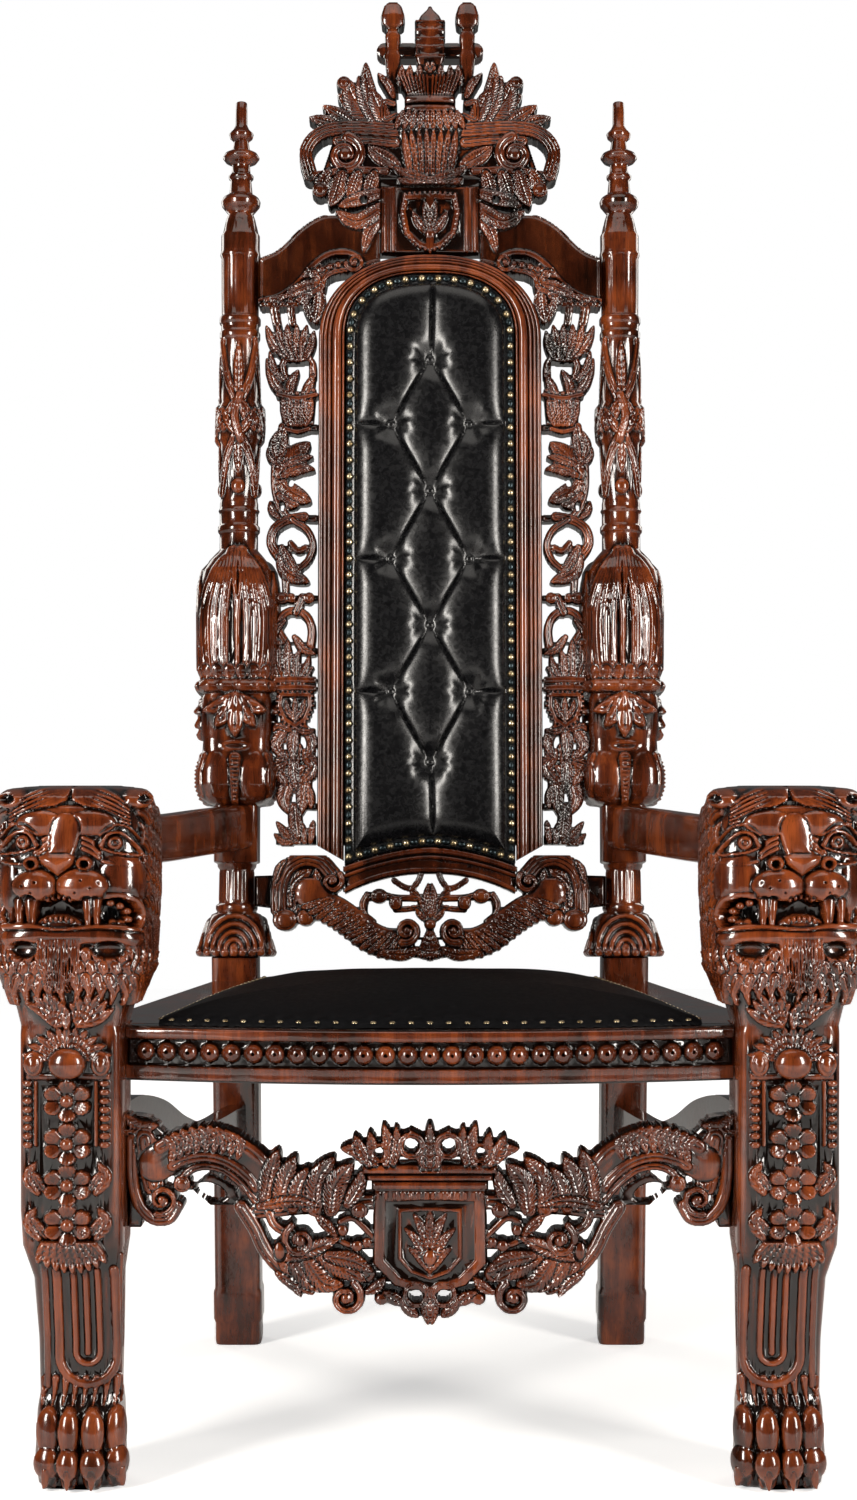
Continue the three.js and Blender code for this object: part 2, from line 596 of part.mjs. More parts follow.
placePair(throne, 'lion_leg', lionLeg());
placePair(throne, 'back_post', backPost());
placePair(throne, 'arm', arm());
placePair(throne, 'seat_rail_side', sideRail());
placePair(throne, 'side_stretcher', sideStretcher());
place(throne, 'seat_rail_front', frontRail());
place(throne, 'seat_rail_back', backRail());
place(throne, 'front_stretcher', frontStretcher());
place(throne, 'seat_cushion', seatCushion(), leather);
placePair(back, 'back_stile', stile());
placePair(back, 'fretwork', fret());
placePair(back, 'shoulder_board', shoulder());
place(back, 'back_arch', arch());
place(back, 'back_bottom_rail', bottomRail());
place(back, 'back_apron', apron());
place(back, 'crest_carving', crestCarving());
place(back, 'back_cushion', backCushion(), leather);
place(back, 'back_board', backBoard(), cloth);

// The origin goes under the middle of the whole, from front to back.
const whole = new THREE.Box3().setFromObject(throne);
throne.position.y = -(whole.min.y + whole.max.y) / 2;

export default throne;
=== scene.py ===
"""A carved lion throne, dressed over its frame: glossy mahogany carving, black leather and brass nails."""

import math

import bmesh
import bpy
import numpy as np
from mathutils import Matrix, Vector


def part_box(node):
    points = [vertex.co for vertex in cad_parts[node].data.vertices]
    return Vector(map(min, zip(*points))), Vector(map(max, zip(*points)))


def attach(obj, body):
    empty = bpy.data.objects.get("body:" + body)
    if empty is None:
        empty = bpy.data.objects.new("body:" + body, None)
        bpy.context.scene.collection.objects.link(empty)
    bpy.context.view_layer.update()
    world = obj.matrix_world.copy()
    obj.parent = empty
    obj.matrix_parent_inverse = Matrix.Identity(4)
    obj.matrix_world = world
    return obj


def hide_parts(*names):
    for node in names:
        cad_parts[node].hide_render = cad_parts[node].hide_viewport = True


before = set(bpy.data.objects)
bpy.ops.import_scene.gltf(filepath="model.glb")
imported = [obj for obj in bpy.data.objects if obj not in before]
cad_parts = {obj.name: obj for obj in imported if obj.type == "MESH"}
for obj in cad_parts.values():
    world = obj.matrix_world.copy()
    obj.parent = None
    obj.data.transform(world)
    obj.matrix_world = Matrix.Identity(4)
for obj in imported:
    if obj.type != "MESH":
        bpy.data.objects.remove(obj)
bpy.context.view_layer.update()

MM = 0.001
STEP = 1.25                  # mm between samples of a carved surface
RAKE = math.atan(95 / 1210)  # lean of the back
FOOT_Z = 480.0               # height where the leaning back starts, mm
FOOT_DEPTH = 265.0           # depth where the leaning back starts, before the frame's centring, mm
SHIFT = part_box("seat_rail_back")[0].y / MM - 270.0  # the frame's own centring, front to back, mm
POST_X = 260.0               # axis of a back post, mm
STRETCH_FACE = -330.0        # front face of the front stretcher, mm


# ---- places ------------------------------------------------------------------------------------------
def on_back(u, depth, v):
    """A point of the leaning back (across, behind its front face, up it), in mm of the room."""
    c, s = math.cos(RAKE), math.sin(RAKE)
    return np.stack([u, FOOT_DEPTH + SHIFT + depth * c + v * s, FOOT_Z + v * c - depth * s], -1)


def on_stretcher(u, depth, v):
    """A point of the upright front stretcher, given in the same way."""
    return np.stack([u, STRETCH_FACE + SHIFT + depth, v], -1)


# ---- paths and fields --------------------------------------------------------------------------------
def smooth(points, count=28):
    """A smooth curve through the given points."""
    p = np.array(points, float)
    p = np.vstack([2 * p[0] - p[1], p, 2 * p[-1] - p[-2]])
    t = np.linspace(0, len(points) - 1 - 1e-9, count)
    i = t.astype(int)
    k = (t - i)[:, None]
    a, b, c, d = p[i], p[i + 1], p[i + 2], p[i + 3]
    return 0.5 * (2 * b + (c - a) * k + (2 * a - 5 * b + 4 * c - d) * k ** 2
                  + (3 * b - a - 3 * c + d) * k ** 3)


def spiral(centre, start, end, turns, angle, count=40):
    """Points of a volute from radius start to radius end; a negative number of turns winds clockwise."""
    t = np.linspace(0, 1, count)
    r = start + (end - start) * t ** 0.8
    a = math.radians(angle) + t * turns * math.tau
    return np.stack([centre[0] + r * np.cos(a), centre[1] + r * np.sin(a)], -1)


def circle(centre, radius):
    """Points round a circle, from its right."""
    return spiral(centre, radius, radius, 1.0, 0)


def lengths(path):
    """How far along a path each of its points lies."""
    return np.concatenate([[0.0], np.cumsum(np.linalg.norm(np.diff(path, axis=0), axis=1))])


def along(path, u, v):
    """For each point: its share of the way along the path, distance from it, and which side it is on."""
    a, seg = path[:-1], np.diff(path, axis=0)
    size = np.maximum(np.linalg.norm(seg, axis=1), 1e-6)
    start = np.concatenate([[0.0], np.cumsum(size)])
    du, dv = u[..., None] - a[:, 0], v[..., None] - a[:, 1]
    k = np.clip((du * seg[:, 0] + dv * seg[:, 1]) / size ** 2, 0, 1)
    off_u, off_v = du - k * seg[:, 0], dv - k * seg[:, 1]
    gap = np.hypot(off_u, off_v)
    best = gap.argmin(-1)[..., None]
    pick = lambda field: np.take_along_axis(field, best, -1)[..., 0]
    best_gap, best_k = pick(gap), pick(k)
    side = np.sign(seg[best[..., 0], 0] * pick(off_v) - seg[best[..., 0], 1] * pick(off_u))
    t = (start[best[..., 0]] + best_k * size[best[..., 0]]) / start[-1]
    return t, best_gap, side, start[-1]


def polygon_inside(points, u, v):
    """Signed distance to a polygon, positive inside."""
    p = np.array(points, float)
    gap = along(np.vstack([p, p[:1]]), u, v)[1]
    odd = np.zeros(u.shape, bool)
    for (u0, v0), (u1, v1) in zip(p, np.roll(p, -1, axis=0)):
        if v0 != v1:
            crosses = (v0 > v) != (v1 > v)
            odd ^= crosses & (u < (u1 - u0) * (v - v0) / (v1 - v0) + u0)
    return np.where(odd, gap, -gap)


def blur(field, radius, weight):
    """Box blur, run twice each way, radius in samples; the weight leaves out what is not covered."""
    def one_way(f, axis):
        size = 2 * radius + 1
        pad = [(0, 0), (0, 0)]
        pad[axis] = (radius + 1, radius)
        total = np.cumsum(np.pad(f, pad, mode="edge"), axis=axis)
        upper = np.take(total, np.arange(size, size + f.shape[axis]), axis=axis)
        return (upper - np.take(total, np.arange(f.shape[axis]), axis=axis)) / size

    def both_ways(f):
        for _ in range(2):
            f = one_way(one_way(f, 0), 1)
        return f

    return both_ways(field * weight) / np.maximum(both_ways(weight), 1e-3)


def spread(field, pick):
    """The largest or smallest of each sample and its eight neighbours."""
    rows = pick.reduce([field[:-2], field[1:-1], field[2:]])
    field = np.concatenate([field[:1], rows, field[-1:]])
    columns = pick.reduce([field[:, :-2], field[:, 1:-1], field[:, 2:]])
    return np.concatenate([field[:, :1], columns, field[:, -1:]], axis=1)


# ---- carving: heights over a plane, in mm ------------------------------------------------------------
class Carving:
    """Heights towards the viewer on a grid across and up a board, and how far inside the wood each is."""

    OUTSIDE = 20.0  # mm, farther from the wood than any blending reaches

    def __init__(self, low, high, step=STEP, solid=False):
        self.step = step
        self.low = np.array(low, float)
        self.u, self.v = np.meshgrid(np.arange(low[0], high[0] + step / 2, step),
                                     np.arange(low[1], high[1] + step / 2, step))
        self.inside = np.full(self.u.shape, self.OUTSIDE if solid else -self.OUTSIDE)
        self.height = np.zeros(self.u.shape)

    def window(self, points, margin):
        """The part of the grid round some points."""
        p = np.asarray(points, float).reshape(-1, 2)
        first = np.floor((p.min(0) - margin - self.low) / self.step).astype(int)
        last = np.ceil((p.max(0) + margin - self.low) / self.step).astype(int) + 1
        (c0, r0), (c1, r1) = np.maximum(first, 0), np.maximum(last, 0)
        win = (slice(r0, r1), slice(c0, c1))
        return win, self.u[win], self.v[win]

    def lay(self, win, inside, height):
        """Puts a form on top of what is there."""
        share = np.clip(inside / self.step, 0, 1)
        self.height[win] += (height - self.height[win]) * share
        self.inside[win] = np.maximum(self.inside[win], inside)

    def leaf(self, base, middle, tip, width, lift=0.0, rise=5.0, flute=4.6, cut=1.5, curl=0.25):
        """An acanthus leaf: widest in its middle, pointed, with slanting flutes and a sunk rib. It stands
        rise above lift, its flutes are cut deep and flute apart, and curl throws its tip forward."""
        win, u, v = self.window([base, middle, tip], width)
        t, gap, _, length = along(smooth([base, middle, tip], 20), u, v)
        shape = np.sqrt(np.maximum(1 - t ** 5, 0)) * (0.62 + 0.38 * np.sin(math.pi * t ** 0.85))
        half = width / 2 * shape + 0.01
        s = gap / half
        count = max(length / flute, 2.0)
        wave = np.abs(np.cos(math.pi * (count * (t - 0.45 * np.minimum(s, 1) * width / length))))
        body = np.sqrt(np.clip(1 - (0.94 * s) ** 2, 0, 1))
        lean = 1 - 0.35 * t + curl * np.exp(-((t - 0.86) / 0.12) ** 2)
        height = lift + rise * body * lean - cut * (1 - wave ** 0.7) * np.clip(s * 3, 0.25, 1)
        height -= cut * np.exp(-(s / 0.16) ** 2) * (t < 0.92)
        self.lay(win, half - gap, height)

    def scroll(self, points, width, lift=0.0, rise=4.0, grooves=1, cut=1.4, taper=0.0, straight=False):
        """A rounded strap or scroll stem with grooves run along it."""
        path = np.array(points, float) if straight else smooth(points, 12 * len(points))
        win, u, v = self.window(path, width)
        t, gap, side, _ = along(path, u, v)
        half = width / 2 * (1 - taper * t)
        s = np.clip(gap / half, 0, 1)
        height = lift + rise * np.sqrt(1 - (0.92 * s) ** 2)
        if grooves:
            across = (gap * side / half + 1) * (grooves + 1) / 2
            height -= cut * np.exp(-((across - np.round(across)) / 0.17) ** 2) * (s < 0.85)
        self.lay(win, half - gap, height)

    def strap(self, points, width, lift=0.0, rise=4.0, **form):
        """A scroll with no grooves."""
        self.scroll(points, width, lift, rise, grooves=0, **form)

    def volute(self, centre, start, end, turns, angle, width, lift, rise=4.5):
        """A scroll that winds in to a raised eye."""
        path = spiral(centre, start, end, turns, angle)
        self.scroll(path, width, lift, rise, taper=0.35, straight=True)
        self.boss(*centre, end * 1.1, lift=lift + 1.5, rise=rise)

    def boss(self, u0, v0, ru, rv=None, lift=0.0, rise=4.0, ring=0.0):
        """A domed button, with a groove round it if ring is the groove's share of the radius."""
        rv = rv or ru
        win, u, v = self.window([(u0, v0)], max(ru, rv) + 2)
        s = np.hypot((u - u0) / ru, (v - v0) / rv)
        height = lift + rise * np.sqrt(np.clip(1 - s ** 2, 0, 1))
        if ring:
            height -= 1.3 * np.exp(-((s - ring) / 0.1) ** 2)
        self.lay(win, (1 - s) * min(ru, rv), height)

    def flower(self, u0, v0, ru, rv, lift, petals=6, rise=6.0, heart=0.3):
        """An open flower with cupped, creased petals round a domed heart."""
        win, u, v = self.window([(u0, v0)], max(ru, rv) + 2)
        s = np.hypot((u - u0) / ru, (v - v0) / rv)
        a = np.arctan2((v - v0) / rv, (u - u0) / ru) + math.pi / 2
        petal = np.abs(np.cos(petals * a / 2))
        edge = 0.66 + 0.34 * petal ** 0.5
        k = s / edge
        height = lift + rise * (0.25 + 0.75 * np.clip(k, 0, 1) ** 1.5) * petal ** 0.35
        height -= 1.3 * (1 - np.abs(np.cos(petals * a * 2.5)) ** 0.5) * np.clip(k * 1.4 - 0.3, 0, 1)
        height -= 4.0 * np.clip((k - 0.86) / 0.14, 0, 1) ** 2
        self.lay(win, (1 - k) * min(ru, rv), height)
        self.boss(u0, v0, ru * heart, rv * heart * 1.1, lift=lift + 2.0, rise=rise)

    def panel(self, points, profile):
        """A flat panel whose edge is moulded: profile gives (mm in from the edge, height) pairs."""
        win, u, v = self.window(points, 2)
        inside = polygon_inside(points, u, v)
        reach, level = zip(*profile)
        self.lay(win, inside, np.interp(inside, reach, level))

    def block(self, left, low, right, high, profile):
        """A panel with four square corners."""
        self.panel([(left, low), (right, low), (right, high), (left, high)], profile)

    def bands(self, middle, levels):
        """A turned part seen flat, about a middle line: rows of level, half width and height there."""
        rows = np.array(levels, float)
        low, high = levels[0][0], levels[-1][0]
        widest = rows[:, 1].max()
        win, u, v = self.window([(middle - widest, low), (middle + widest, high)], 2)
        wide, top = np.interp(v, rows[:, 0], rows[:, 1]), np.interp(v, rows[:, 0], rows[:, 2])
        s = np.abs(u - middle) / wide
        inside = np.minimum(wide - np.abs(u - middle), np.minimum(v - low, high - v))
        self.lay(win, inside, top * np.sqrt(np.clip(1 - 0.8 * s ** 2, 0, 1)))

    def pearls(self, points, pitch, radius, lift, rise=2.5):
        """A row of small beads along a path."""
        path = np.array(points, float)
        reach = lengths(path)
        for d in np.linspace(0, reach[-1], max(int(round(reach[-1] / pitch)) + 1, 2)):
            self.boss(np.interp(d, reach, path[:, 0]), np.interp(d, reach, path[:, 1]), radius,
                      lift=lift, rise=rise)

    def hole(self, u0, v0, ru, rv=None, turn=0.0):
        """A pierced opening with its edge eased."""
        rv = rv or ru
        win, u, v = self.window([(u0, v0)], max(ru, rv) + 4)
        c, s = math.cos(math.radians(turn)), math.sin(math.radians(turn))
        du, dv = u - u0, v - v0
        out = (np.hypot((du * c + dv * s) / ru, (dv * c - du * s) / rv) - 1) * min(ru, rv)
        self.inside[win] = np.minimum(self.inside[win], out)
        self.height[win] -= 1.5 * np.clip(1 - out / 2.5, 0, 1)

    def mirrored(self):
        """The same carving with its left half repeated on the right; the grid ends on the middle line."""
        whole = Carving(self.low, self.low, self.step)
        flip = lambda field, sign=1: np.concatenate([field, sign * field[:, -2::-1]], axis=1)
        whole.u, whole.v = flip(self.u, -1), flip(self.v)
        whole.u[:, self.u.shape[1] - 1] = 0.0
        whole.inside, whole.height = flip(self.inside), flip(self.height)
        return whole

    def recess(self):
        """From -1 on proud edges to 1 deep in the carving: heights beside their means over two reaches."""
        weight = (self.inside > 0).astype(float)
        near = blur(self.height, max(int(1.6 / self.step), 1), weight) - self.height
        wide = blur(self.height, int(5.0 / self.step), weight) - self.height
        return np.clip(0.8 * near / 0.9 + 0.55 * wide / 2.5, -1, 1)

    def sample(self, field, u, v):
        """Values of a grid field at loose points."""
        width = self.u[0, 1] - self.u[0, 0]
        c = np.clip((u - self.u[0, 0]) / width, 0, field.shape[1] - 1.001)
        r = np.clip((v - self.low[1]) / self.step, 0, field.shape[0] - 1.001)
        ci, ri = c.astype(int), r.astype(int)
        c, r = c - ci, r - ri
        return (field[ri, ci] * (1 - r) * (1 - c) + field[ri, ci + 1] * (1 - r) * c
                + field[ri + 1, ci] * r * (1 - c) + field[ri + 1, ci + 1] * r * c)


def each(form, rows, **same):
    """Carves one form for each row of its own values; the values that all of them share come after."""
    for row in rows:
        form(*row, **same)


# ---- meshes ------------------------------------------------------------------------------------------
def add_piece(name, mesh, material, replaced=(), sharp=48):
    """Hooks a mesh to the frame as a piece of its own, in place of the nodes that it replaces."""
    piece = bpy.data.objects.new(name, mesh)
    bpy.context.scene.collection.objects.link(piece)
    mesh.materials.clear()
    mesh.materials.append(material)
    mesh.shade_smooth()
    mesh.set_sharp_from_angle(angle=math.radians(sharp))
    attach(piece, "root")
    if replaced:
        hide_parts(*replaced)
    return piece


def thinned(mesh, share):
    """Fewer faces where the surface is plain."""
    holder = bpy.data.objects.new("holder", mesh)
    bpy.context.scene.collection.objects.link(holder)
    fewer = holder.modifiers.new("fewer", "DECIMATE")
    fewer.ratio = share
    fewer.use_collapse_triangulate = True
    bpy.context.view_layer.update()
    result = bpy.data.meshes.new_from_object(holder.evaluated_get(bpy.context.evaluated_depsgraph_get()))
    bpy.data.objects.remove(holder)
    return result


def quad_mesh(name, points, quads):
    """A mesh of four-sided faces from arrays."""
    mesh = bpy.data.meshes.new(name)
    mesh.vertices.add(len(points))
    mesh.vertices.foreach_set("co", np.asarray(points, np.float32).ravel())
    mesh.loops.add(quads.size)
    mesh.loops.foreach_set("vertex_index", quads.astype(np.int32).ravel())
    mesh.polygons.add(len(quads))
    mesh.polygons.foreach_set("loop_start", np.arange(0, quads.size, 4, dtype=np.int32))
    mesh.update(calc_edges=True)
    return mesh


def ring_quads(rows, count):
    """Numbers of the points of rings laid one after another, and the faces between neighbouring rings."""
    number = np.arange(rows * count).reshape(rows, count)
    a, b = number[:-1], np.roll(number[:-1], -1, axis=1)
    c, d = np.roll(number[1:], -1, axis=1), number[1:]
    return number, np.stack([a, b, c, d], -1).reshape(-1, 4)


def points_of(mesh):
    """The points of a mesh, as rows."""
    co = np.zeros(len(mesh.vertices) * 3, np.float32)
    mesh.vertices.foreach_get("co", co)
    return co.reshape(-1, 3).astype(float)


def set_points(mesh, points):
    """Moves the points of a mesh, given as rows in metres."""
    mesh.vertices.foreach_set("co", points.astype(np.float32).ravel())
    mesh.update()


def set_recess(mesh, values):
    """Tells the finish how deep in the carving each point lies, which it paints as shade in the cuts and as
    highlight on proud edges.
    """
    attribute = mesh.attributes.new("recess", "FLOAT", "POINT")
    attribute.data.foreach_set("value", np.asarray(values, np.float32))


SNAP = 0.55         # edge points nearer than this share of a step move onto the true edge
EASED, EASE = 1.6, 2.2  # an edge is eased over this width, by this height, mm
WALL_TONE = 0.4     # painted shade on the walls and the back of a pierced board


def board_piece(name, carving, place, rear, share, replaced, slot="mahogany", finish=None):
    """Turns a carving into a solid board with a flat back, thinned where it is plain."""
    step = carving.step
    inside = spread(spread(carving.inside, np.maximum), np.minimum)
    gv, gu = np.gradient(inside, step)
    slope = np.maximum(np.hypot(gu, gv), 0.35)
    out = inside / slope
    keep = out > -SNAP * step
    snap = np.clip(-out, -0.45 * step, SNAP * step) * (np.abs(out) < SNAP * step)
    u = carving.u + snap * gu / slope
    v = carving.v + snap * gv / slope
    height = carving.height - EASE * np.clip(1 - out / EASED, 0, 1) ** 2
    cell = keep[:-1, :-1] & keep[1:, :-1] & keep[1:, 1:] & keep[:-1, 1:]
    used = np.zeros(keep.shape, bool)
    for rows in (slice(0, -1), slice(1, None)):
        for columns in (slice(0, -1), slice(1, None)):
            used[rows, columns] |= cell
    number = np.full(keep.shape, -1)
    number[used] = np.arange(used.sum())
    front = np.stack([u[used], -height[used], v[used]], -1)
    back = np.stack([u[used], np.full(used.sum(), float(rear)), v[used]], -1)
    count = len(front)
    a, b = number[:-1, :-1][cell], number[:-1, 1:][cell]
    c, d = number[1:, 1:][cell], number[1:, :-1][cell]
    face = np.stack([a, b, c, d], -1)
    # a wall wherever a cell has no neighbour: on its low, right, high or left side
    walls = []
    padded = np.pad(cell, 1)
    for (dr, dc), (k0, k1) in {(-1, 0): (0, 1), (0, 1): (1, 2), (1, 0): (2, 3), (0, -1): (3, 0)}.items():
        neighbour = padded[1 + dr:padded.shape[0] - 1 + dr, 1 + dc:padded.shape[1] - 1 + dc]
        edge = (~neighbour)[cell]
        p, q = face[edge, k0], face[edge, k1]
        walls.append(np.stack([q, p, p + count, q + count], -1))
    quads = np.concatenate([face, face[:, ::-1] + count, *walls])
    mesh = thinned(quad_mesh(name, np.concatenate([front, back]), quads), share)
    across, behind, up = points_of(mesh).T
    # painted shade in the cuts and painted highlight on proud edges of the face; painted shade on the walls
    # and the back, growing with depth behind the face
    tone = carving.sample(carving.recess(), across, up)
    on_face = np.clip((rear - behind) / 6.0 - 0.5, 0, 1)
    on_wall = np.clip((behind + 1.0) / 14.0, 0, WALL_TONE) * (behind > 0)
    set_recess(mesh, np.maximum(tone * on_face, on_wall))
    set_points(mesh, place(across, behind, up) * MM)
    return add_piece(name, mesh, finish or MAHOGANY, replaced)


def pair(make, name, *values, replaced, **options):
    """A piece for the left side of the throne, and its mirror image for the right."""
    left = make(name, *values, replaced=[replaced], **options)
    mesh = left.data.copy()
    mesh.name = name.replace("left", "right")
    set_points(mesh, points_of(mesh) * (-1, 1, 1))
    mesh.flip_normals()
    add_piece(mesh.name, mesh, mesh.materials[0], [replaced.replace("left", "right")])


# ---- finishes ----------------------------------------------------------------------------------------
def linear(colour):
    """An sRGB hex colour as linear red, green, blue, alpha."""
    parts = [int(colour[i:i + 2], 16) / 255 for i in (1, 3, 5)]
    return [c / 12.92 if c <= 0.04045 else ((c + 0.055) / 1.055) ** 2.4 for c in parts] + [1.0]


def node(tree, kind, out, links=(), stops=(), **settings):
    """Adds a node and gives its output called out: links are (socket, source or constant), stops are the
    (position, colour) pairs of a ramp, settings are the node's own values and its sockets by name."""
    made = tree.nodes.new(kind)
    for name, value in settings.items():
        if hasattr(made, name):
            setattr(made, name, value)
        else:
            made.inputs[name.replace("_", " ")].default_value = value
    for _ in stops[2:]:
        made.color_ramp.elements.new(0.5)
    for k, (position, colour) in enumerate(stops):
        made.color_ramp.elements[k].position = position
        made.color_ramp.elements[k].color = linear(colour)
    for socket, source in links:
        if isinstance(source, bpy.types.NodeSocket):
            tree.links.new(source, made.inputs[socket])
        else:
            made.inputs[socket].default_value = source
    return made.outputs[out]


def start_material(name):
    """A new material, its nodes, its shader and the object's own coordinates."""
    material = bpy.data.materials.new(name)
    material.use_nodes = True
    tree = material.node_tree
    where = node(tree, "ShaderNodeTexCoord", "Object")
    return material, tree, tree.nodes["Principled BSDF"], where


def mahogany(name, grain=(1, 1, 0.06)):
    """Carved mahogany under a thick glossy varnish: red-brown grain, near-black painted shade with glaze in
    the cuts, proud edges painted lighter for wear and highlight, and sharp bright glints on every ridge."""
    material, tree, shader, where = start_material(name)
    recess = node(tree, "ShaderNodeAttribute", "Fac", attribute_name="recess")
    stretched = node(tree, "ShaderNodeMapping", "Vector", [("Vector", where)], Scale=grain)
    # the wood's figure changes over about 18 mm, its tone over 70 mm, and pores are 1.6 mm apart
    streaks = node(tree, "ShaderNodeTexNoise", "Fac", [("Vector", stretched)], Scale=1 / (18 * MM),
                   Detail=5.0, Roughness=0.62, Distortion=0.35)
    pores = node(tree, "ShaderNodeTexNoise", "Fac", [("Vector", stretched)], Scale=1 / (1.6 * MM),
                 Detail=3.0, Roughness=0.7)
    cloud = node(tree, "ShaderNodeTexNoise", "Fac", [("Vector", where)], Scale=1 / (70 * MM), Detail=3.0,
                 Roughness=0.55)
    figure = node(tree, "ShaderNodeMath", 0, [(0, streaks), (1, cloud)], operation="ADD")
    figure = node(tree, "ShaderNodeMath", 0, [(0, figure), (1, 0.5)], operation="MULTIPLY")
    colour = node(tree, "ShaderNodeValToRGB", "Color", [("Fac", figure)],
                  [(0.36, "#170803"), (0.5, "#4b1e0c"), (0.64, "#7c3a18")])
    in_pore = node(tree, "ShaderNodeMapRange", "Result", [("Value", pores)], From_Min=0.34, From_Max=0.48,
                   To_Min=0.45, To_Max=0.0)
    # painted shade, with the real glaze: the deeper a point lies in the carving, the nearer its colour goes
    # to near black
    shade_and_glaze = node(tree, "ShaderNodeMapRange", "Result", [("Value", recess)], From_Min=0.0, From_Max=0.55,
                 To_Min=0.0, To_Max=0.97)
    # painted highlight, with real wear: proud edges of the carving are painted a lighter red-brown
    wear_and_highlight = node(tree, "ShaderNodeMapRange", "Result", [("Value", recess)], From_Min=-0.15, From_Max=-0.9,
                To_Min=0.0, To_Max=0.55)
    # over the grain: pores, then the painted shade with glaze, then the painted highlight with wear
    for share, tint in ((in_pore, "#170803"), (shade_and_glaze, "#040100"), (wear_and_highlight, "#84401f")):
        colour = node(tree, "ShaderNodeMix", 2, [("Factor", share), (6, colour), (7, linear(tint))],
                      data_type="RGBA")
    tree.links.new(colour, shader.inputs["Base Color"])
    rough = node(tree, "ShaderNodeMapRange", "Result", [("Value", cloud)], From_Min=0.3, From_Max=0.7,
                 To_Min=0.14, To_Max=0.26)
    tree.links.new(rough, shader.inputs["Roughness"])
    shader.inputs["Specular IOR Level"].default_value = 0.3
    shader.inputs["Coat Weight"].default_value = 0.8
    shader.inputs["Coat Roughness"].default_value = 0.06
    shader.inputs["Coat IOR"].default_value = 1.5
    # pores, and the marks of a carving tool about 9 mm wide
    tool = node(tree, "ShaderNodeTexNoise", "Fac", [("Vector", where)], Scale=1 / (9 * MM), Detail=2.0)
    relief = node(tree, "ShaderNodeBump", "Normal", [("Height", pores)], Strength=0.06, Distance=0.0002)
    marks = node(tree, "ShaderNodeBump", "Normal", [("Height", tool), ("Normal", relief)], Strength=0.2,
                 Distance=0.0008)
    tree.links.new(marks, shader.inputs["Normal"])
    tree.links.new(marks, shader.inputs["Coat Normal"])
    return material


def black_leather(name, gloss=0.24, shine=0.5):
    """Black upholstery leather, lightly glazed: fine pebbled grain and broad soft sheen."""
    material, tree, shader, where = start_material(name)
    pebble = node(tree, "ShaderNodeTexVoronoi", "Distance", [("Vector", where)], Scale=1 / (1.3 * MM),
                  feature="SMOOTH_F1")
    crease = node(tree, "ShaderNodeTexNoise", "Fac", [("Vector", where)], Scale=1 / (7 * MM), Detail=6.0,
                  Roughness=0.65, Distortion=0.6)
    colour = node(tree, "ShaderNodeValToRGB", "Color", [("Fac", crease)],
                  [(0.3, "#040405"), (0.7, "#0e0e10")])
    tree.links.new(colour, shader.inputs["Base Color"])
    shader.inputs["Specular IOR Level"].default_value = shine
    rough = node(tree, "ShaderNodeMapRange", "Result", [("Value", crease)], From_Min=0.3, From_Max=0.7,
                 To_Min=gloss - 0.05, To_Max=gloss + 0.1)
    tree.links.new(rough, shader.inputs["Roughness"])
    fine = node(tree, "ShaderNodeBump", "Normal", [("Height", pebble)], Strength=0.15, Distance=0.0002)
    broad = node(tree, "ShaderNodeBump", "Normal", [("Height", crease), ("Normal", fine)], Strength=0.15,
                 Distance=0.0006)
    tree.links.new(broad, shader.inputs["Normal"])
    return material


def aged_metal(name, dark="#665538", light="#c6b695"):
    """Antiqued nail heads: bright on the dome and tarnished in patches."""
    material, tree, shader, where = start_material(name)
    tarnish = node(tree, "ShaderNodeTexNoise", "Fac", [("Vector", where)], Scale=1 / (4 * MM), Detail=4.0)
    colour = node(tree, "ShaderNodeValToRGB", "Color", [("Fac", tarnish)], [(0.35, dark), (0.65, light)])
    tree.links.new(colour, shader.inputs["Base Color"])
    shader.inputs["Metallic"].default_value = 1.0
    rough = node(tree, "ShaderNodeMapRange", "Result", [("Value", tarnish)], From_Min=0.3, From_Max=0.7,
                 To_Min=0.42, To_Max=0.24)
    tree.links.new(rough, shader.inputs["Roughness"])
    return material


def lining_cloth(name):
    """Black woven lining, dull, with a plain weave drawn a little coarse so that its threads show."""
    material, tree, shader, where = start_material(name)
    thread = 1 / (1.4 * MM)
    warp, weft = (node(tree, "ShaderNodeTexWave", "Fac", [("Vector", where)], Scale=thread / 6,
                       bands_direction=way) for way in "XZ")
    weave = node(tree, "ShaderNodeMath", 0, [(0, warp), (1, weft)], operation="MAXIMUM")
    colour = node(tree, "ShaderNodeValToRGB", "Color", [("Fac", weave)], [(0.2, "#070708"), (0.9, "#1a1a1c")])
    tree.links.new(colour, shader.inputs["Base Color"])
    shader.inputs["Roughness"].default_value = 0.92
    bump = node(tree, "ShaderNodeBump", "Normal", [("Height", weave)], Strength=0.4, Distance=0.0005)
    tree.links.new(bump, shader.inputs["Normal"])
    return material


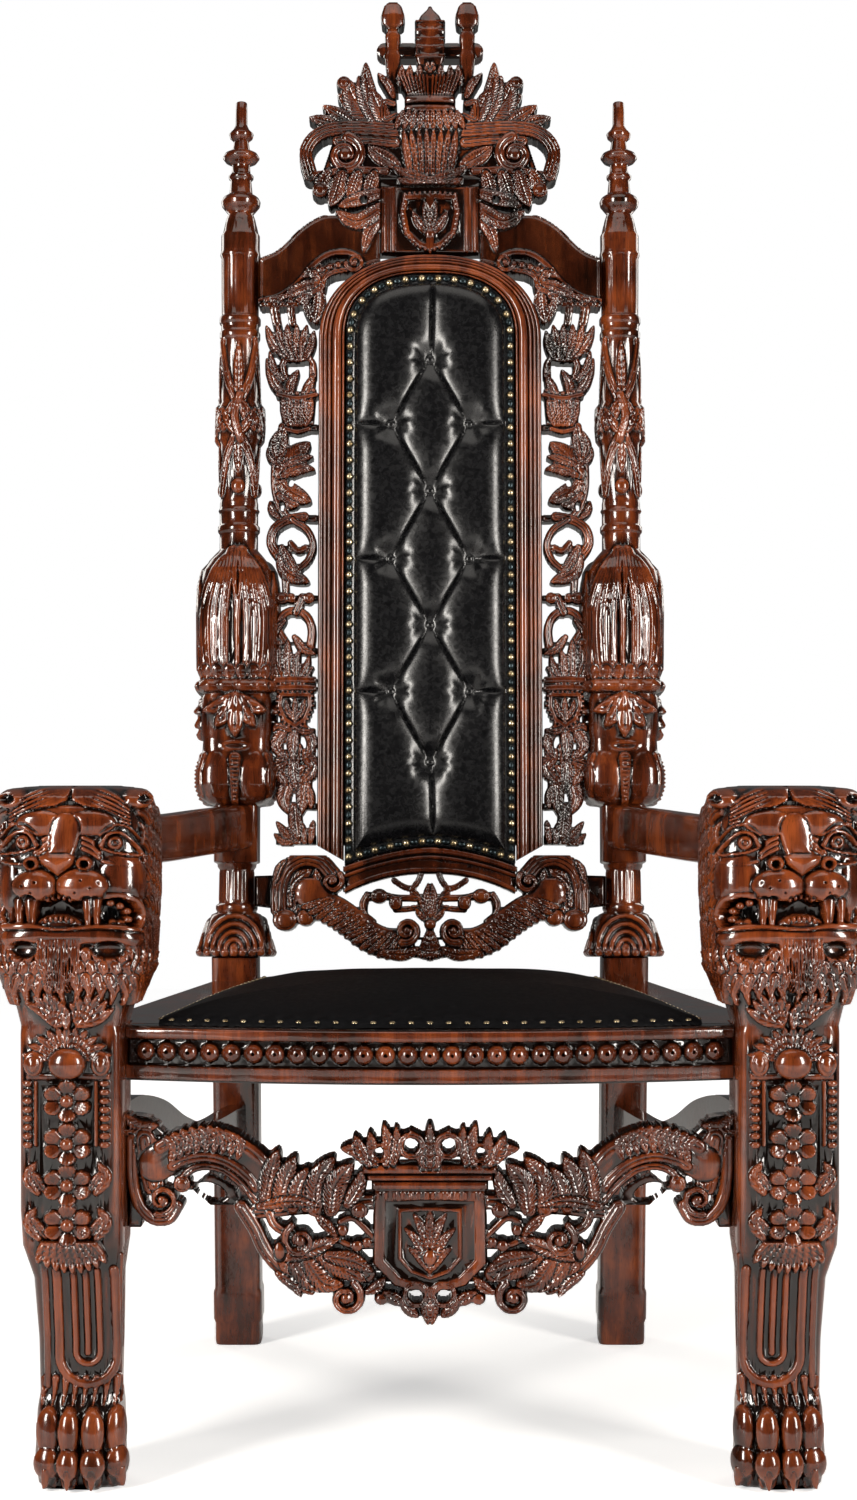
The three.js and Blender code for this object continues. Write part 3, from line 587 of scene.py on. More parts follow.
def studio_floor(name):
    """A pale floor whose far parts run into the white backdrop, without lighting the throne."""
    material, tree, shader, where = start_material(name)
    mottle = node(tree, "ShaderNodeTexNoise", "Fac", [("Vector", where)], Scale=2.0)
    colour = node(tree, "ShaderNodeValToRGB", "Color", [("Fac", mottle)],
                  [(0.3, "#f1f1f1"), (0.7, "#f6f6f6")])
    tree.links.new(colour, shader.inputs["Base Color"])
    shader.inputs["Roughness"].default_value = 0.7
    away = node(tree, "ShaderNodeVectorMath", "Value", [(0, where)], operation="LENGTH")
    glow = node(tree, "ShaderNodeMapRange", "Result", [("Value", away)], From_Min=0.2, From_Max=3.0,
                To_Min=0.5, To_Max=0.9)
    seen = node(tree, "ShaderNodeLightPath", "Is Camera Ray")
    glow = node(tree, "ShaderNodeMath", 0, [(0, glow), (1, seen)], operation="MULTIPLY")
    tree.links.new(glow, shader.inputs["Emission Strength"])
    shader.inputs["Emission Color"].default_value = (1.0, 1.0, 1.0, 1.0)
    return material


MAHOGANY = mahogany("mahogany, glossy varnish")
MAHOGANY_ACROSS = mahogany("mahogany, grain across", grain=(0.06, 1, 1))
LEATHER = black_leather("black leather, glazed")
SEAT_LEATHER = black_leather("black leather, soft", gloss=0.5, shine=0.06)
BRASS = aged_metal("antiqued brass")
GUNMETAL = aged_metal("blackened steel", dark="#15191b", light="#3c474b")
CLOTH = lining_cloth("black lining cloth")


# ---- crest -------------------------------------------------------------------------------------------
CREST_FAN = [((-112, 1176), (-140, 1187), (-166, 1193), 22), ((-98, 1180), (-124, 1197), (-147, 1210), 22),
             ((-86, 1180), (-108, 1210), (-126, 1226), 24), ((-64, 1178), (-100, 1212), (-117, 1250), 36),
             ((-66, 1180), (-84, 1216), (-98, 1252), 32), ((-74, 1196), (-86, 1240), (-88, 1271), 22),
             ((-56, 1178), (-70, 1206), (-82, 1236), 26), ]
CREST_DROPS = [((-140, 1114), (-148, 1098), (-155, 1082), 24), ((-120, 1114), (-127, 1090), (-136, 1068),
                                                                26),
               ((-98, 1114), (-104, 1098), (-110, 1078), 24), ((-76, 1114), (-81, 1098), (-86, 1080), 22),
               ((-62, 1058), (-82, 1034), (-90, 1004), 20), ((-60, 1070), (-98, 1048), (-129, 1062), 26),
               ((-66, 1088), (-100, 1078), (-126, 1068), 22), ]


def crest():
    """The left half of the crown with its leaf fan, over a pearl-edged shield."""
    c = Carving((-180, 1002), (0, 1356))
    c.block(-70, 1088, -24, 1114, [(0, -4), (3, -2)])
    c.panel([(-150, 1108), (-30, 1108), (-30, 1175), (-128, 1175)], [(0, -2), (4, 1)])
    each(c.leaf, CREST_FAN, rise=6)
    c.leaf((-46, 1126), (-66, 1138), (-86, 1152), 24, lift=2)
    c.scroll([(-48, 1158), (-90, 1162), (-126, 1160)], 16, lift=2, grooves=2)
    c.scroll([(-60, 1118), (-110, 1119), (-152, 1113)], 11, lift=4)
    c.scroll([(-44, 1174), (-110, 1178), (-150, 1170), (-169, 1145), (-163, 1112)], 20, lift=4, rise=5,
             grooves=3)
    c.volute((-116, 1140), 25, 8, -1.25, 80, 17, lift=4, rise=5)
    each(c.leaf, CREST_DROPS, lift=1, rise=6)
    c.boss(-150, 1091, 11, lift=3, rise=5, ring=0.65)
    c.boss(-118, 1241, 10, lift=3, rise=5, ring=0.6)
    # crown: arms, side towers, basket and dome
    c.strap([(-16, 1288), (-62, 1288)], 22, lift=-4)
    c.bands(-51, [(1228, 8, -2), (1240, 6, 0), (1262, 9, 2), (1280, 11, 3), (1288, 8, 2), (1308, 11, 4),
                  (1314, 8, 3), (1318, 8, 3), (1324, 15, 6), (1336, 16.5, 7), (1350, 12, 5), (1356, 6, 2)])
    c.leaf((-50, 1222), (-58, 1240), (-72, 1256), 14, lift=1)
    c.scroll([(-46, 1196), (-62, 1190), (-62, 1214), (-50, 1212)], 10, lift=1)
    c.bands(0, [(1250, 14, 3), (1268, 17, 4), (1278, 20, 5), (1296, 20, 6), (1322, 20, 6), (1336, 13, 5),
                (1344, 5, 3), (1350, 2, 1)])
    for v in (1280, 1292, 1304, 1316, 1328):
        c.strap([(-19, v), (0, v - 1)], 4, lift=5, rise=1.5)
    each(c.leaf, [((-40, 1240), (-39, 1252), (-38, 1266), 12), ((-28, 1243), (-28, 1255), (-27, 1266), 12),
                  ((-15, 1243), (-15, 1255), (-14, 1266), 12)], lift=5, rise=4)
    c.bands(0, [(1222, 32, 8), (1250, 46, 9)])
    for k in range(8):
        u = -4 - 5.2 * k
        c.strap([(u * 0.72, 1223), (u, 1250)], 4.6, lift=9 - 0.4 * k, rise=2.4)
    c.flower(0, 1262, 9, 9, lift=5, petals=5, rise=4)
    c.bands(0, [(1211, 34, 9), (1217, 35, 12), (1223, 34, 9)])
    c.bands(0, [(1199, 34, 9), (1205, 36, 12), (1210, 34, 9)])
    c.bands(0, [(1174, 50, 9), (1186, 46, 8), (1200, 38, 9)])
    for k in range(5):
        u = -4 - 10.5 * k
        c.leaf((u * 0.8, 1199), (u * 0.9, 1188), (u * 1.02, 1174), 12, lift=8, rise=4)
    # cup below the crown
    c.bands(0, [(1098, 30, 6), (1112, 33, 9), (1124, 34, 9), (1150, 39, 8), (1176, 45, 8)])
    for k in range(4):
        u = -5 - 10.5 * k
        c.leaf((u * 0.72, 1112), (u * 0.86, 1146), (u, 1176), 13, lift=8 - k, rise=6, flute=6)
    c.leaf((0, 1104), (-25, 1110), (-50, 1122), 16, lift=8)
    c.leaf((0, 1096), (-22, 1098), (-46, 1106), 16, lift=8)
    # plaque with a pearl-edged shield
    c.block(-68, 1003.3, 3, 1098, [(0, -1), (3, 2), (6, 2)])
    for u in (-61, -50):
        c.strap([(u, 1008), (u, 1094)], 6, lift=2, rise=3)
    shield = [(-38, 1086), (-42, 1060), (-36, 1030), (-18, 1012), (0, 1005), (3, 1005), (3, 1088), (0, 1088)]
    c.panel(shield, [(0, 3), (3, 7), (8, 7), (10, 3)])
    c.pearls([(0, 1088), (-34, 1086), (-39, 1060), (-34, 1032), (-17, 1013), (0, 1006)], 7, 3, lift=6)
    c.leaf((0, 1030), (-14, 1044), (-24, 1062), 14, lift=4, rise=3.5)
    c.leaf((0, 1034), (-4, 1052), (-8, 1076), 13, lift=4, rise=4)
    c.boss(0, 1030, 7, lift=5)
    c.hole(-90, 1078, 5)
    return c.mirrored()


# ---- shoulder boards ---------------------------------------------------------------------------------
SHOULDER_TOP = [(-233, 998), (-206, 1011), (-175, 1041), (-145, 1058), (-112, 1059), (-66.6, 1059)]
SHOULDER_LIP = [(-233, 938), (-206, 944), (-181, 962), (-160, 987), (-138, 1003), (-114, 1006), (-97, 999)]


def shoulder():
    """A lipped board that climbs from the post to the crest, with leaves hanging under it."""
    c = Carving((-233.2, 903), (-66.2, 1061))
    top, lip = smooth(SHOULDER_TOP, 40), smooth(SHOULDER_LIP, 40)
    outline = np.vstack([lip, [(-92, 986), (-66.6, 994)], top[::-1]])
    c.panel(outline, [(0, -5), (2.5, -2.2), (5, -4), (9, -4.6)])
    c.strap(SHOULDER_LIP, 9, lift=-1, rise=3.5)
    # leaf mass under the lip, standing a little back
    c.panel([(-226, 941), (-205, 946), (-182, 962), (-166, 976), (-152, 962), (-150, 946), (-156, 934),
             (-226, 933)], [(0, -8), (4, -5)])
    each(c.leaf, [((-152, 962), (-172, 958), (-200, 944), 20), ((-150, 968), (-160, 978), (-176, 972), 14),
                  ((-150, 955), (-152, 930), (-157, 907), 20), ((-160, 950), (-172, 942), (-186, 936), 14),
                  ((-172, 946), (-165, 926), (-160, 909), 13), ((-196, 946), (-214, 940), (-230, 938), 12)],
         lift=-4)
    c.scroll([(-159, 951), (-147, 957), (-143, 970), (-132, 978), (-112, 982)], 8, lift=-2)
    each(c.scroll, [([(-212, 940), (-211, 924), (-208, 908)], 13), ([(-190, 940), (-189, 924), (-187, 908)],
                                                                    10)], lift=-5)
    for u in range(-228, -176, 9):
        c.boss(u, 935, 5, 4.5, lift=-5, rise=3)
    for k in range(5):
        c.boss(-158 + 11 * k, 978 + 5 * k - 0.5 * k * k, 6, lift=-3, rise=5, ring=0.7)
    c.volute((-102, 992), 13, 4, 1.2, 200, 8, lift=0, rise=4)
    return c


# ---- pierced side panels -----------------------------------------------------------------------------
FRET_LEAVES = [  # base, middle, tip, width; from the bottom of the panel to its top
    [(-176, 202), (-188, 208), (-206, 230), 14], [(-180, 202), (-196, 202), (-209, 214), 12],
    [(-178, 202), (-182, 216), (-187, 233), 14], [(-168, 202), (-171, 216), (-173, 231), 14],
    [(-160, 202), (-158, 216), (-156, 232), 12],
    [(-180, 300), (-196, 262), (-183, 236), 22], [(-168, 300), (-170, 262), (-174, 236), 22],
    [(-162, 276), (-160, 262), (-159, 246), 13], [(-182, 250), (-180, 226), (-176, 202), 20],
    [(-186, 322), (-203, 300), (-190, 276), 22], [(-168, 322), (-156, 302), (-174, 280), 22],
    [(-176, 330), (-184, 300), (-178, 270), 18], [(-192, 308), (-206, 300), (-207, 286), 11],
    [(-194, 356), (-206, 332), (-192, 312), 18], [(-180, 356), (-184, 332), (-182, 308), 18],
    [(-168, 356), (-158, 336), (-166, 314), 17], [(-186, 352), (-204, 358), (-211, 350), 12],
    [(-178, 352), (-164, 350), (-154, 354), 12],
    [(-196, 416), (-204, 446), (-203, 470), 16], [(-190, 416), (-192, 450), (-191, 476), 17],
    [(-180, 416), (-180, 446), (-174, 462), 15], [(-172, 416), (-164, 432), (-156, 438), 14],
    [(-176, 420), (-166, 440), (-162, 454), 12], [(-200, 416), (-209, 430), (-209, 446), 11],
    [(-182, 478), (-170, 462), (-153, 454), 14], [(-196, 500), (-206, 488), (-207, 472), 11],
    [(-202, 586), (-192, 566), (-162, 552), 22], [(-200, 600), (-188, 578), (-176, 562), 16],
    [(-204, 640), (-214, 650), (-216, 664), 11],
    [(-202, 690), (-188, 676), (-160, 662), 26], [(-204, 672), (-190, 660), (-176, 658), 16],
    [(-203, 700), (-188, 722), (-162, 744), 30], [(-198, 698), (-176, 708), (-155, 706), 18],
    [(-196, 712), (-172, 722), (-157, 724), 14], [(-205, 716), (-212, 738), (-206, 760), 15],
    [(-202, 722), (-198, 744), (-196, 764), 14], [(-205, 712), (-217, 724), (-219, 738), 10],
    [(-196, 806), (-212, 828), (-222, 860), 16], [(-190, 806), (-188, 826), (-178, 844), 15],
    [(-172, 806), (-164, 822), (-157, 838), 15], [(-200, 830), (-212, 846), (-218, 870), 12],
    [(-190, 858), (-212, 880), (-223, 905), 16], [(-186, 858), (-202, 884), (-208, 907), 16],
    [(-182, 858), (-192, 884), (-194, 907), 16], [(-178, 858), (-181, 884), (-181, 907), 15],
    [(-174, 858), (-172, 884), (-167, 906), 15], [(-170, 858), (-162, 878), (-157, 898), 14],
]
FRET_TABS = [764, 640, 459, 309, 250]


def fret():
    """The pierced panel between a post and the leather, from its foot to its fan of leaves."""
    c = Carving((-226, 197), (-151.2, 909), step=1.15)
    c.panel([(-206, 197.6), (-151.5, 197.6), (-151.5, 212), (-206, 208)], [(0, -6), (4, -4)])
    for v in FRET_TABS:
        c.panel([(-176, v - 4), (-151.4, v - 5), (-151.4, v + 5), (-176, v + 4)], [(0, -5), (3, -3)])
    c.block(-208.5, 527, -151.4, 535, [(0, -5), (3, -3)])
    # crossing scrolls of the upper half
    c.scroll([(-200, 766), (-205, 740), (-210, 706), (-208, 672), (-196, 646), (-176, 632)], 11, lift=-3,
             rise=5)
    c.scroll([(-170, 642), (-190, 638), (-209, 626), (-214, 606), (-205, 590), (-194, 580)], 14, lift=-2,
             rise=6, grooves=2)
    c.scroll([(-186, 638), (-166, 624), (-158, 604), (-164, 584), (-178, 570)], 10, lift=-3, rise=5)
    c.strap([(-188, 606), (-178, 596), (-168, 600)], 9, lift=-3)
    c.scroll([(-197, 572), (-195, 552), (-194, 530)], 10, lift=-3)
    c.scroll([(-195, 472), (-204, 490), (-196, 509), (-180, 514), (-165, 505), (-159, 487), (-161, 466)], 12,
             lift=-2, rise=6)
    c.scroll([(-180, 512), (-176, 522), (-172, 532)], 12, lift=-3)
    c.scroll([(-197, 834), (-199, 852), (-188, 864), (-172, 864), (-160, 852), (-159, 836)], 11, lift=-1,
             rise=5)
    each(c.leaf, FRET_LEAVES, lift=-3, rise=6.5, flute=4.2)
    # capital
    c.panel([(-205, 806), (-201, 772), (-190, 762), (-170, 762), (-158, 772), (-155, 806)],
            [(0, -2), (5, 2)])
    for k in range(5):
        u = -200 + 10 * k
        c.leaf((u * 0.6 - 72, 768), (u * 0.85 - 27, 786), (u, 806), 13, rise=4.5)
    c.strap([(-206, 809), (-180, 804), (-154, 809)], 7, lift=1, rise=3)
    c.pearls([(-202, 815), (-190, 812), (-180, 811), (-168, 812), (-158, 815)], 7.5, 3.6, lift=-1, rise=4)
    c.strap([(-196, 762), (-180, 758), (-164, 762)], 7, rise=3)
    # small shield with pearls, under two bands
    shield = [(-204, 404), (-206, 384), (-198, 364), (-181, 353), (-165, 364), (-157, 384), (-158, 404)]
    c.panel(shield, [(0, 0), (2.5, 3.5), (6, 3.5), (7.5, 0.5)])
    c.pearls(shield + shield[:1], 6.5, 2.6, lift=2)
    each(c.leaf, [((-181, 366), (-190, 378), (-194, 394), 10), ((-181, 366), (-172, 378), (-168, 394), 10)],
         lift=1, rise=3)
    c.leaf((-181, 364), (-181, 382), (-181, 398), 10, lift=1, rise=3.5)
    for v in (409, 420):
        c.strap([(-207, v), (-181, v + 1), (-156, v)], 10, lift=-1)
    each(c.boss, [(-200, 531, 11, 8.5), (-187, 531, 7, 7), (-163, 531, 8, 8), (-204, 470, 6, 6)], lift=-1,
         rise=5, ring=0.65)
    each(c.hole, [(-168, 851, 4), (-172, 834, 3), (-188, 690, 4, 7), (-200, 656, 3, 7)])
    return c


# ---- apron -------------------------------------------------------------------------------------------
def apron():
    """The left half of the board under the back: side leaves, strapwork and a garland."""
    c = Carving((-234.5, 38), (0, 184))
    c.panel([(-234.5, 117), (-196, 112), (-196, 158), (-234.5, 157)], [(0, -6), (4, -4)])
    c.panel([(-204, 104), (-150, 104), (-130, 130), (-128, 160), (-150, 178), (-186, 172), (-204, 140)],
            [(0, -5), (5, -2)])
    each(c.leaf, [((-196, 108), (-184, 146), (-158, 166), 26), ((-182, 106), (-166, 138), (-146, 152), 22),
                  ((-188, 118), (-194, 140), (-186, 160), 16), ((-160, 116), (-150, 140), (-152, 166), 20)],
         lift=-2)
    c.scroll([(-202, 112), (-201, 140), (-192, 166), (-170, 180), (-146, 176), (-130, 160)], 22, lift=1,
             rise=6, grooves=3)
    c.leaf((-206, 150), (-200, 168), (-190, 180), 14, rise=4)
    c.volute((-131, 149), 15, 5, -1.1, 40, 10, lift=5, rise=5)
    c.boss(-193, 98, 17, 15, lift=2, rise=9, ring=0.72)
    c.boss(-166, 101, 12.5, 11.5, lift=2, rise=7, ring=0.72)
    c.hole(-167, 121, 12, 4.5, turn=14)
    # strapwork in the opening
    each(c.scroll, [([(-48, 151), (-36, 143), (-24, 138), (-10, 124)], 8),
                    ([(-12, 160), (-16, 150), (-24, 140)], 8), ([(-46, 112), (-30, 113), (-12, 116)], 8)],
         lift=-4)
    c.scroll([(-84, 96), (-88, 112), (-84, 126), (-70, 133), (-46, 128), (-20, 127), (0, 123)], 9, lift=-3)
    c.scroll([(-76, 96), (-87, 106), (-90, 120), (-84, 132)], 9, lift=-2, rise=5)
    each(c.boss, [(-68, 130, 12, 10), (-46, 121, 9, 10)], lift=-1, rise=6, ring=0.65)
    each(c.leaf, [((0, 100), (-8, 116), (-16, 128), 11), ((0, 104), (-4, 128), (-2, 148), 13),
                  ((0, 96), (-12, 104), (-20, 114), 11)], lift=-1)
    # garland
    garland = [(-160, 134), (-146, 120), (-124, 108), (-104, 94), (-84, 78), (-62, 68), (-42, 66)]
    c.strap(garland, 42, lift=-1, rise=7)
    path = smooth(garland, 60)
    for k in range(13):
        at, ahead = path[4 + 4 * k], path[min(9 + 4 * k, 59)]
        way = (ahead - at) / max(np.linalg.norm(ahead - at), 1e-6)
        side = np.array([-way[1], way[0]])
        c.leaf(at - 19 * side, at - 6 * side + 7 * way, at + 16 * side + 17 * way, 12, lift=1.5, rise=6.5,
               flute=5)
    c.volute((-31, 84), 17, 5, 1.3, 250, 12, lift=5, rise=6)
    c.leaf((-62, 54), (-35, 52), (-8, 62), 18, lift=2, rise=6)
    for k in range(5):
        u = -3.6 * k
        c.leaf((u * 0.2, 82), (u * 0.7, 62), (u * 1.25, 42 + 1.2 * k), 9, lift=3 - 0.4 * k, flute=7)
    c.boss(0, 92, 8, 7, lift=3, rise=6)
    return c.mirrored()


# ---- front stretcher ---------------------------------------------------------------------------------
STRETCHER_UPPER = [((-180, 306), (-174, 338), (-166, 362), 24), ((-166, 300), (-158, 330), (-147, 355), 25),
                   ((-150, 298), (-144, 322), (-133, 343), 22), ((-136, 298), (-131, 320), (-126, 338), 19),
                   ((-126, 296), (-122, 330), (-104, 354), 27), ((-108, 296), (-103, 324), (-84, 347), 28),
                   ((-90, 302), (-78, 322), (-74, 340), 19), ((-186, 300), (-150, 306), (-118, 300), 16), ]
STRETCHER_LOWER = [((-160, 236), (-144, 220), (-127, 203), 22), ((-150, 240), (-138, 222), (-112, 206), 22),
                   ((-134, 240), (-116, 216), (-94, 214), 24), ((-118, 244), (-92, 230), (-70, 218), 24),
                   ((-112, 246), (-84, 240), (-62, 228), 20), ((-156, 244), (-126, 254), (-98, 266), 20),
                   ((-104, 270), (-116, 282), (-126, 292), 14), ((-166, 226), (-150, 214), (-140, 200), 14),
                   ]
STRETCHER_CREST = [((-66, 346), (-80, 360), (-98, 363), 18), ((-66, 346), (-76, 362), (-83, 378), 16),
                   ((-60, 346), (-63, 364), (-66, 382), 15), ((-48, 346), (-46, 368), (-51, 390), 16),
                   ((-40, 346), (-36, 368), (-37, 388), 14), ((-8, 342), (-12, 366), (-22, 384), 14),
                   ((0, 342), (0, 368), (-1, 391), 15), ((-68, 206), (-58, 212), (-48, 222), 14),
                   ((-48, 204), (-38, 198), (-26, 192), 16), ((-30, 196), (-22, 186), (-12, 178), 15),
                   ((0, 206), (-4, 188), (-2, 169), 14), ]


def stretcher():
    """The left half of the front stretcher: scrolled arm, two leafy branches and a shield."""
    c = Carving((-331.6, 168), (0, 400))
    c.panel([(-331.6, 276), (-316, 276), (-306, 330), (-292, 346), (-290, 380), (-306, 396), (-331.6, 400)],
            [(0, -5), (4, -2)])
    c.leaf((-331, 396), (-318, 386), (-296, 388), 16)
    c.leaf((-331, 380), (-316, 376), (-298, 370), 16)
    c.scroll([(-326, 372), (-325, 330), (-318, 302), (-303, 286), (-286, 286), (-276, 300)], 14, lift=2,
             rise=6)
    c.scroll([(-312, 372), (-308, 346), (-302, 322)], 24, rise=5, grooves=3)
    c.volute((-293, 307), 17, 5, 1.3, 250, 9, lift=2, rise=6)
    # long arm with a sunk face and leaves over its shoulder
    arm = [(-300, 346), (-276, 360), (-248, 366), (-222, 361), (-200, 348), (-183, 330), (-173, 306)]
    c.strap(arm, 42, lift=-1, rise=6)
    path = smooth(arm, 70)
    for lean, width in ((0.30, 15), (-0.28, 12)):
        normal = np.stack([-np.gradient(path[:, 1]), np.gradient(path[:, 0])], -1)
        normal /= np.linalg.norm(normal, axis=1)[:, None]
        c.scroll((path + 42 * lean * normal)[6:66:6], width, lift=4, rise=3.5)
    for k in range(9):
        at = path[6 + 4 * k]
        c.leaf(at + (0, 20), at + (8, 10), at + (4, -8), 13, lift=4.5, flute=5)
    c.scroll([(-272, 322), (-266, 336), (-250, 343), (-228, 340), (-208, 326), (-194, 310), (-182, 294)], 10,
             rise=5)
    c.boss(-271, 324, 10, lift=1, rise=6, ring=0.65)
    c.panel([(-262, 318), (-240, 336), (-214, 322), (-206, 300), (-240, 300)], [(0, -6), (3, -5)])
    c.hole(-240, 314, 17, 9, turn=-20)
    # upper branch
    c.scroll([(-190, 294), (-125, 300), (-62, 304)], 18, lift=-1, rise=5, grooves=2)
    each(c.leaf, STRETCHER_UPPER, lift=1, rise=8, flute=4.8, cut=1.8)
    c.boss(-77, 295, 10, 9, lift=3, rise=6, ring=0.65)
    # lower branch
    c.scroll([(-206, 298), (-192, 276), (-179, 250), (-160, 228)], 17, rise=6, grooves=2)
    c.scroll([(-152, 238), (-112, 233), (-70, 226)], 22, lift=-1, rise=6, grooves=2)
    c.scroll([(-176, 292), (-170, 279), (-156, 270), (-142, 262)], 11, rise=5)
    each(c.strap, [([(-98, 282), (-84, 286), (-68, 272), (-60, 262)], 8),
                   ([(-100, 262), (-84, 256), (-60, 256)], 8)], lift=-2)
    each(c.leaf, STRETCHER_LOWER, lift=1, rise=8, flute=4.8, cut=1.8)
    each(c.volute, [((-142, 262), 19, 6, 1.2, 120, 10), ((-92, 199), 19, 6, -1.2, 60, 11)], lift=2, rise=6)
    c.boss(-164, 250, 8, 12, rise=5)
    each(c.boss, [(-96, 273, 7), (-80, 256, 7), (-69, 260, 6)], rise=5)
    # shield with its cornice
    c.panel([(-62, 322), (-63, 236), (-40, 212), (0, 200), (3, 200), (3, 322)], [(0, 0), (3, 4), (8, 4)])
    c.panel([(-50, 306), (-51, 240), (-32, 220), (0, 210), (3, 210), (3, 308)], [(0, 4), (2, 1.5), (6, 1.5)])
    c.panel([(-36, 298), (-36, 242), (-22, 226), (0, 218), (3, 218), (3, 300)],
            [(0, 1.5), (2, 6), (4, 6), (5.5, 2.5)])
    each(c.leaf, [((0, 230), (-12, 246), (-24, 254), 13), ((0, 238), (-14, 262), (-28, 276), 13),
                  ((0, 250), (-8, 274), (-18, 292), 13), ((0, 256), (-1, 276), (-2, 294), 11)], lift=3.5,
         rise=4)
    c.boss(0, 244, 8, 9, lift=5, rise=5)
    for k in range(7):
        c.block(-60 + 9 * k, 306, -54 + 9 * k, 316, [(0, 4), (1.5, 6.5)])
    for low, high, half, lift in ((317, 327, 64, 6), (327, 335, 69, 9), (335, 346, 74, 11)):
        c.block(-half, low, 3, high, [(0, lift - 3), (3, lift)])
    each(c.leaf, STRETCHER_CREST, lift=2, rise=6)
    c.scroll(circle((-20, 366), 12), 8, lift=3, straight=True)
    c.scroll(circle((-56, 358), 9), 6, lift=2, straight=True)
    c.hole(-20, 366, 7)
    c.hole(-56, 358, 5)
    c.boss(-53, 198, 8, 7, lift=2, rise=5)
    c.scroll(circle((-15, 203), 12), 7, lift=1, straight=True)
    c.hole(-15, 202, 6)
    return c.mirrored()


# ---- carving wrapped round a post --------------------------------------------------------------------
FRONT_SHARE = 0.62   # how evenly the points of a section are spread; the rest crowd towards its front
WRAPPED_TONE = 0.75  # strength of the painted shade with glaze, and painted highlight with wear, on a wrapped carving beside a flat one


def wrapped_piece(name, carving, rows, place, share, replaced, around, rise=1.3):
    """Skins a post whose sections are given in rows (level, half width, front, back, power, shift), with a
    carving laid round it: its middle runs up the front, and its width is measured round the post."""
    rows = np.array(rows, float)
    levels = np.arange(rows[0, 0], rows[-1, 0] + rise / 2, rise)
    half, front, back, power, shift = (np.interp(levels, rows[:, 0], rows[:, k]) for k in range(1, 6))
    s = np.linspace(-1, 1, around + 1)[:-1]
    s = s * FRONT_SHARE + (1 - FRONT_SHARE) * s ** 3 * (0.6 + 0.4 * s ** 2)
    turn = np.linspace(-math.pi, math.pi, 721)
    c, d = np.sin(turn), -np.cos(turn)
    points, tones = [], []
    recess = carving.recess()
    for k, level in enumerate(levels):
        deep = (back[k] - front[k]) / 2
        x = half[k] * np.sign(c) * np.abs(c) ** (2 / power[k])
        y = (front[k] + back[k]) / 2 + deep * np.sign(d) * np.abs(d) ** (2 / power[k])
        reach = np.concatenate([[0], np.cumsum(np.hypot(np.diff(x), np.diff(y)))])
        reach -= reach[360]
        at = s * reach[-1]
        px, py = np.interp(at, reach, x), np.interp(at, reach, y)
        tx, ty = np.gradient(px, at), np.gradient(py, at)
        size = np.maximum(np.hypot(tx, ty), 1e-6)
        row = np.full(at.shape, level)
        high = carving.sample(carving.height, at, row)
        points.append(np.stack([px + shift[k] + ty / size * high, py - tx / size * high, row], -1))
        tones.append(carving.sample(recess, at, row))
    number, quads = ring_quads(len(levels), around)
    j = np.arange(around // 2 - 1)
    ends = [ring[np.stack([j, j + 1, around - 2 - j, around - 1 - j], -1)][:, ::order]
            for ring, order in ((number[0], -1), (number[-1], 1))]
    mesh = quad_mesh(name, np.array(points).reshape(-1, 3), np.concatenate([quads, *ends]))
    # painted shade in the cuts and painted highlight on proud edges, weaker than on a flat board
    set_recess(mesh, WRAPPED_TONE * np.array(tones).ravel())
    mesh = thinned(mesh, share)
    set_points(mesh, place(*points_of(mesh).T) * MM)
    return add_piece(name, mesh, MAHOGANY, replaced)


# ---- lion legs ---------------------------------------------------------------------------------------
LEG_X = 388.0      # axis of a lion leg, mm
FACE_MIDDLE = -11  # middle line of the face, across the leg, mm
LION_BODY = [  # level, half width, front, back, power, shift
    (0, 40, -362, -296, 4, 6), (4, 44, -367, -292, 4, 6), (30, 48, -372, -278, 4, 6),
    (82, 46, -366, -276, 4, 6), (100, 43, -357, -278, 5, 6), (160, 44, -358, -276, 6, 6),
    (226, 47, -362, -274, 6, 4), (262, 55, -369, -272, 7, 1), (300, 56, -370, -272, 8, 0),
    (490, 56, -371, -272, 8, 0), (500, 56, -372, -272, 6, 0), (524, 63, -373, -262, 5, 0),
    (560, 77, -374, -238, 4.5, 0), (600, 78, -374, -216, 4.5, 0), (640, 80, -374, -203, 4.5, 0),
    (735, 80, -372, -203, 4.5, 0), (748, 77, -367, -208, 4, 0), (756, 66, -354, -220, 3.5, 0),
    (759, 40, -330, -244, 3, 0),
]


def on_left_leg(u, depth, v):
    """A point beside the axis of the left lion leg."""
    return np.stack([u - LEG_X, depth + SHIFT, v], -1)


def lion():
    """The carving round a front leg, from its paw up to the lion's head."""
    c = Carving((-215, 0), (215, 762), step=1.3, solid=True)
    lion_paw(c)
    lion_shaft(c)
    lion_flowers(c)
    lion_mane(c)
    lion_face(c)
    return c


def lion_paw(c):
    """Four toes with claws, and a fringe of hair above them."""
    for u, wide, out in ((-29, 13, 12), (-7, 12.5, 19), (18, 13, 20), (43, 13.5, 12)):
        c.boss(u, 34, wide * 0.96, 44, lift=1, rise=out * 0.55)
        c.boss(u, 64, wide * 0.95, 27, lift=out * 0.4, rise=out * 0.55)
        c.boss(u, 30, wide, 19, lift=out * 0.55, rise=out * 0.62)
        c.leaf((u, 24), (u, 12), (u - 1, 1), 9, lift=out * 0.8, rise=6, flute=30, cut=0.5)
    for k in range(9):
        u = -34 + 11 * k
        c.scroll([(u, 118), (u - 1, 106), (u - 3, 90)], 9, lift=3, rise=3, taper=0.7)


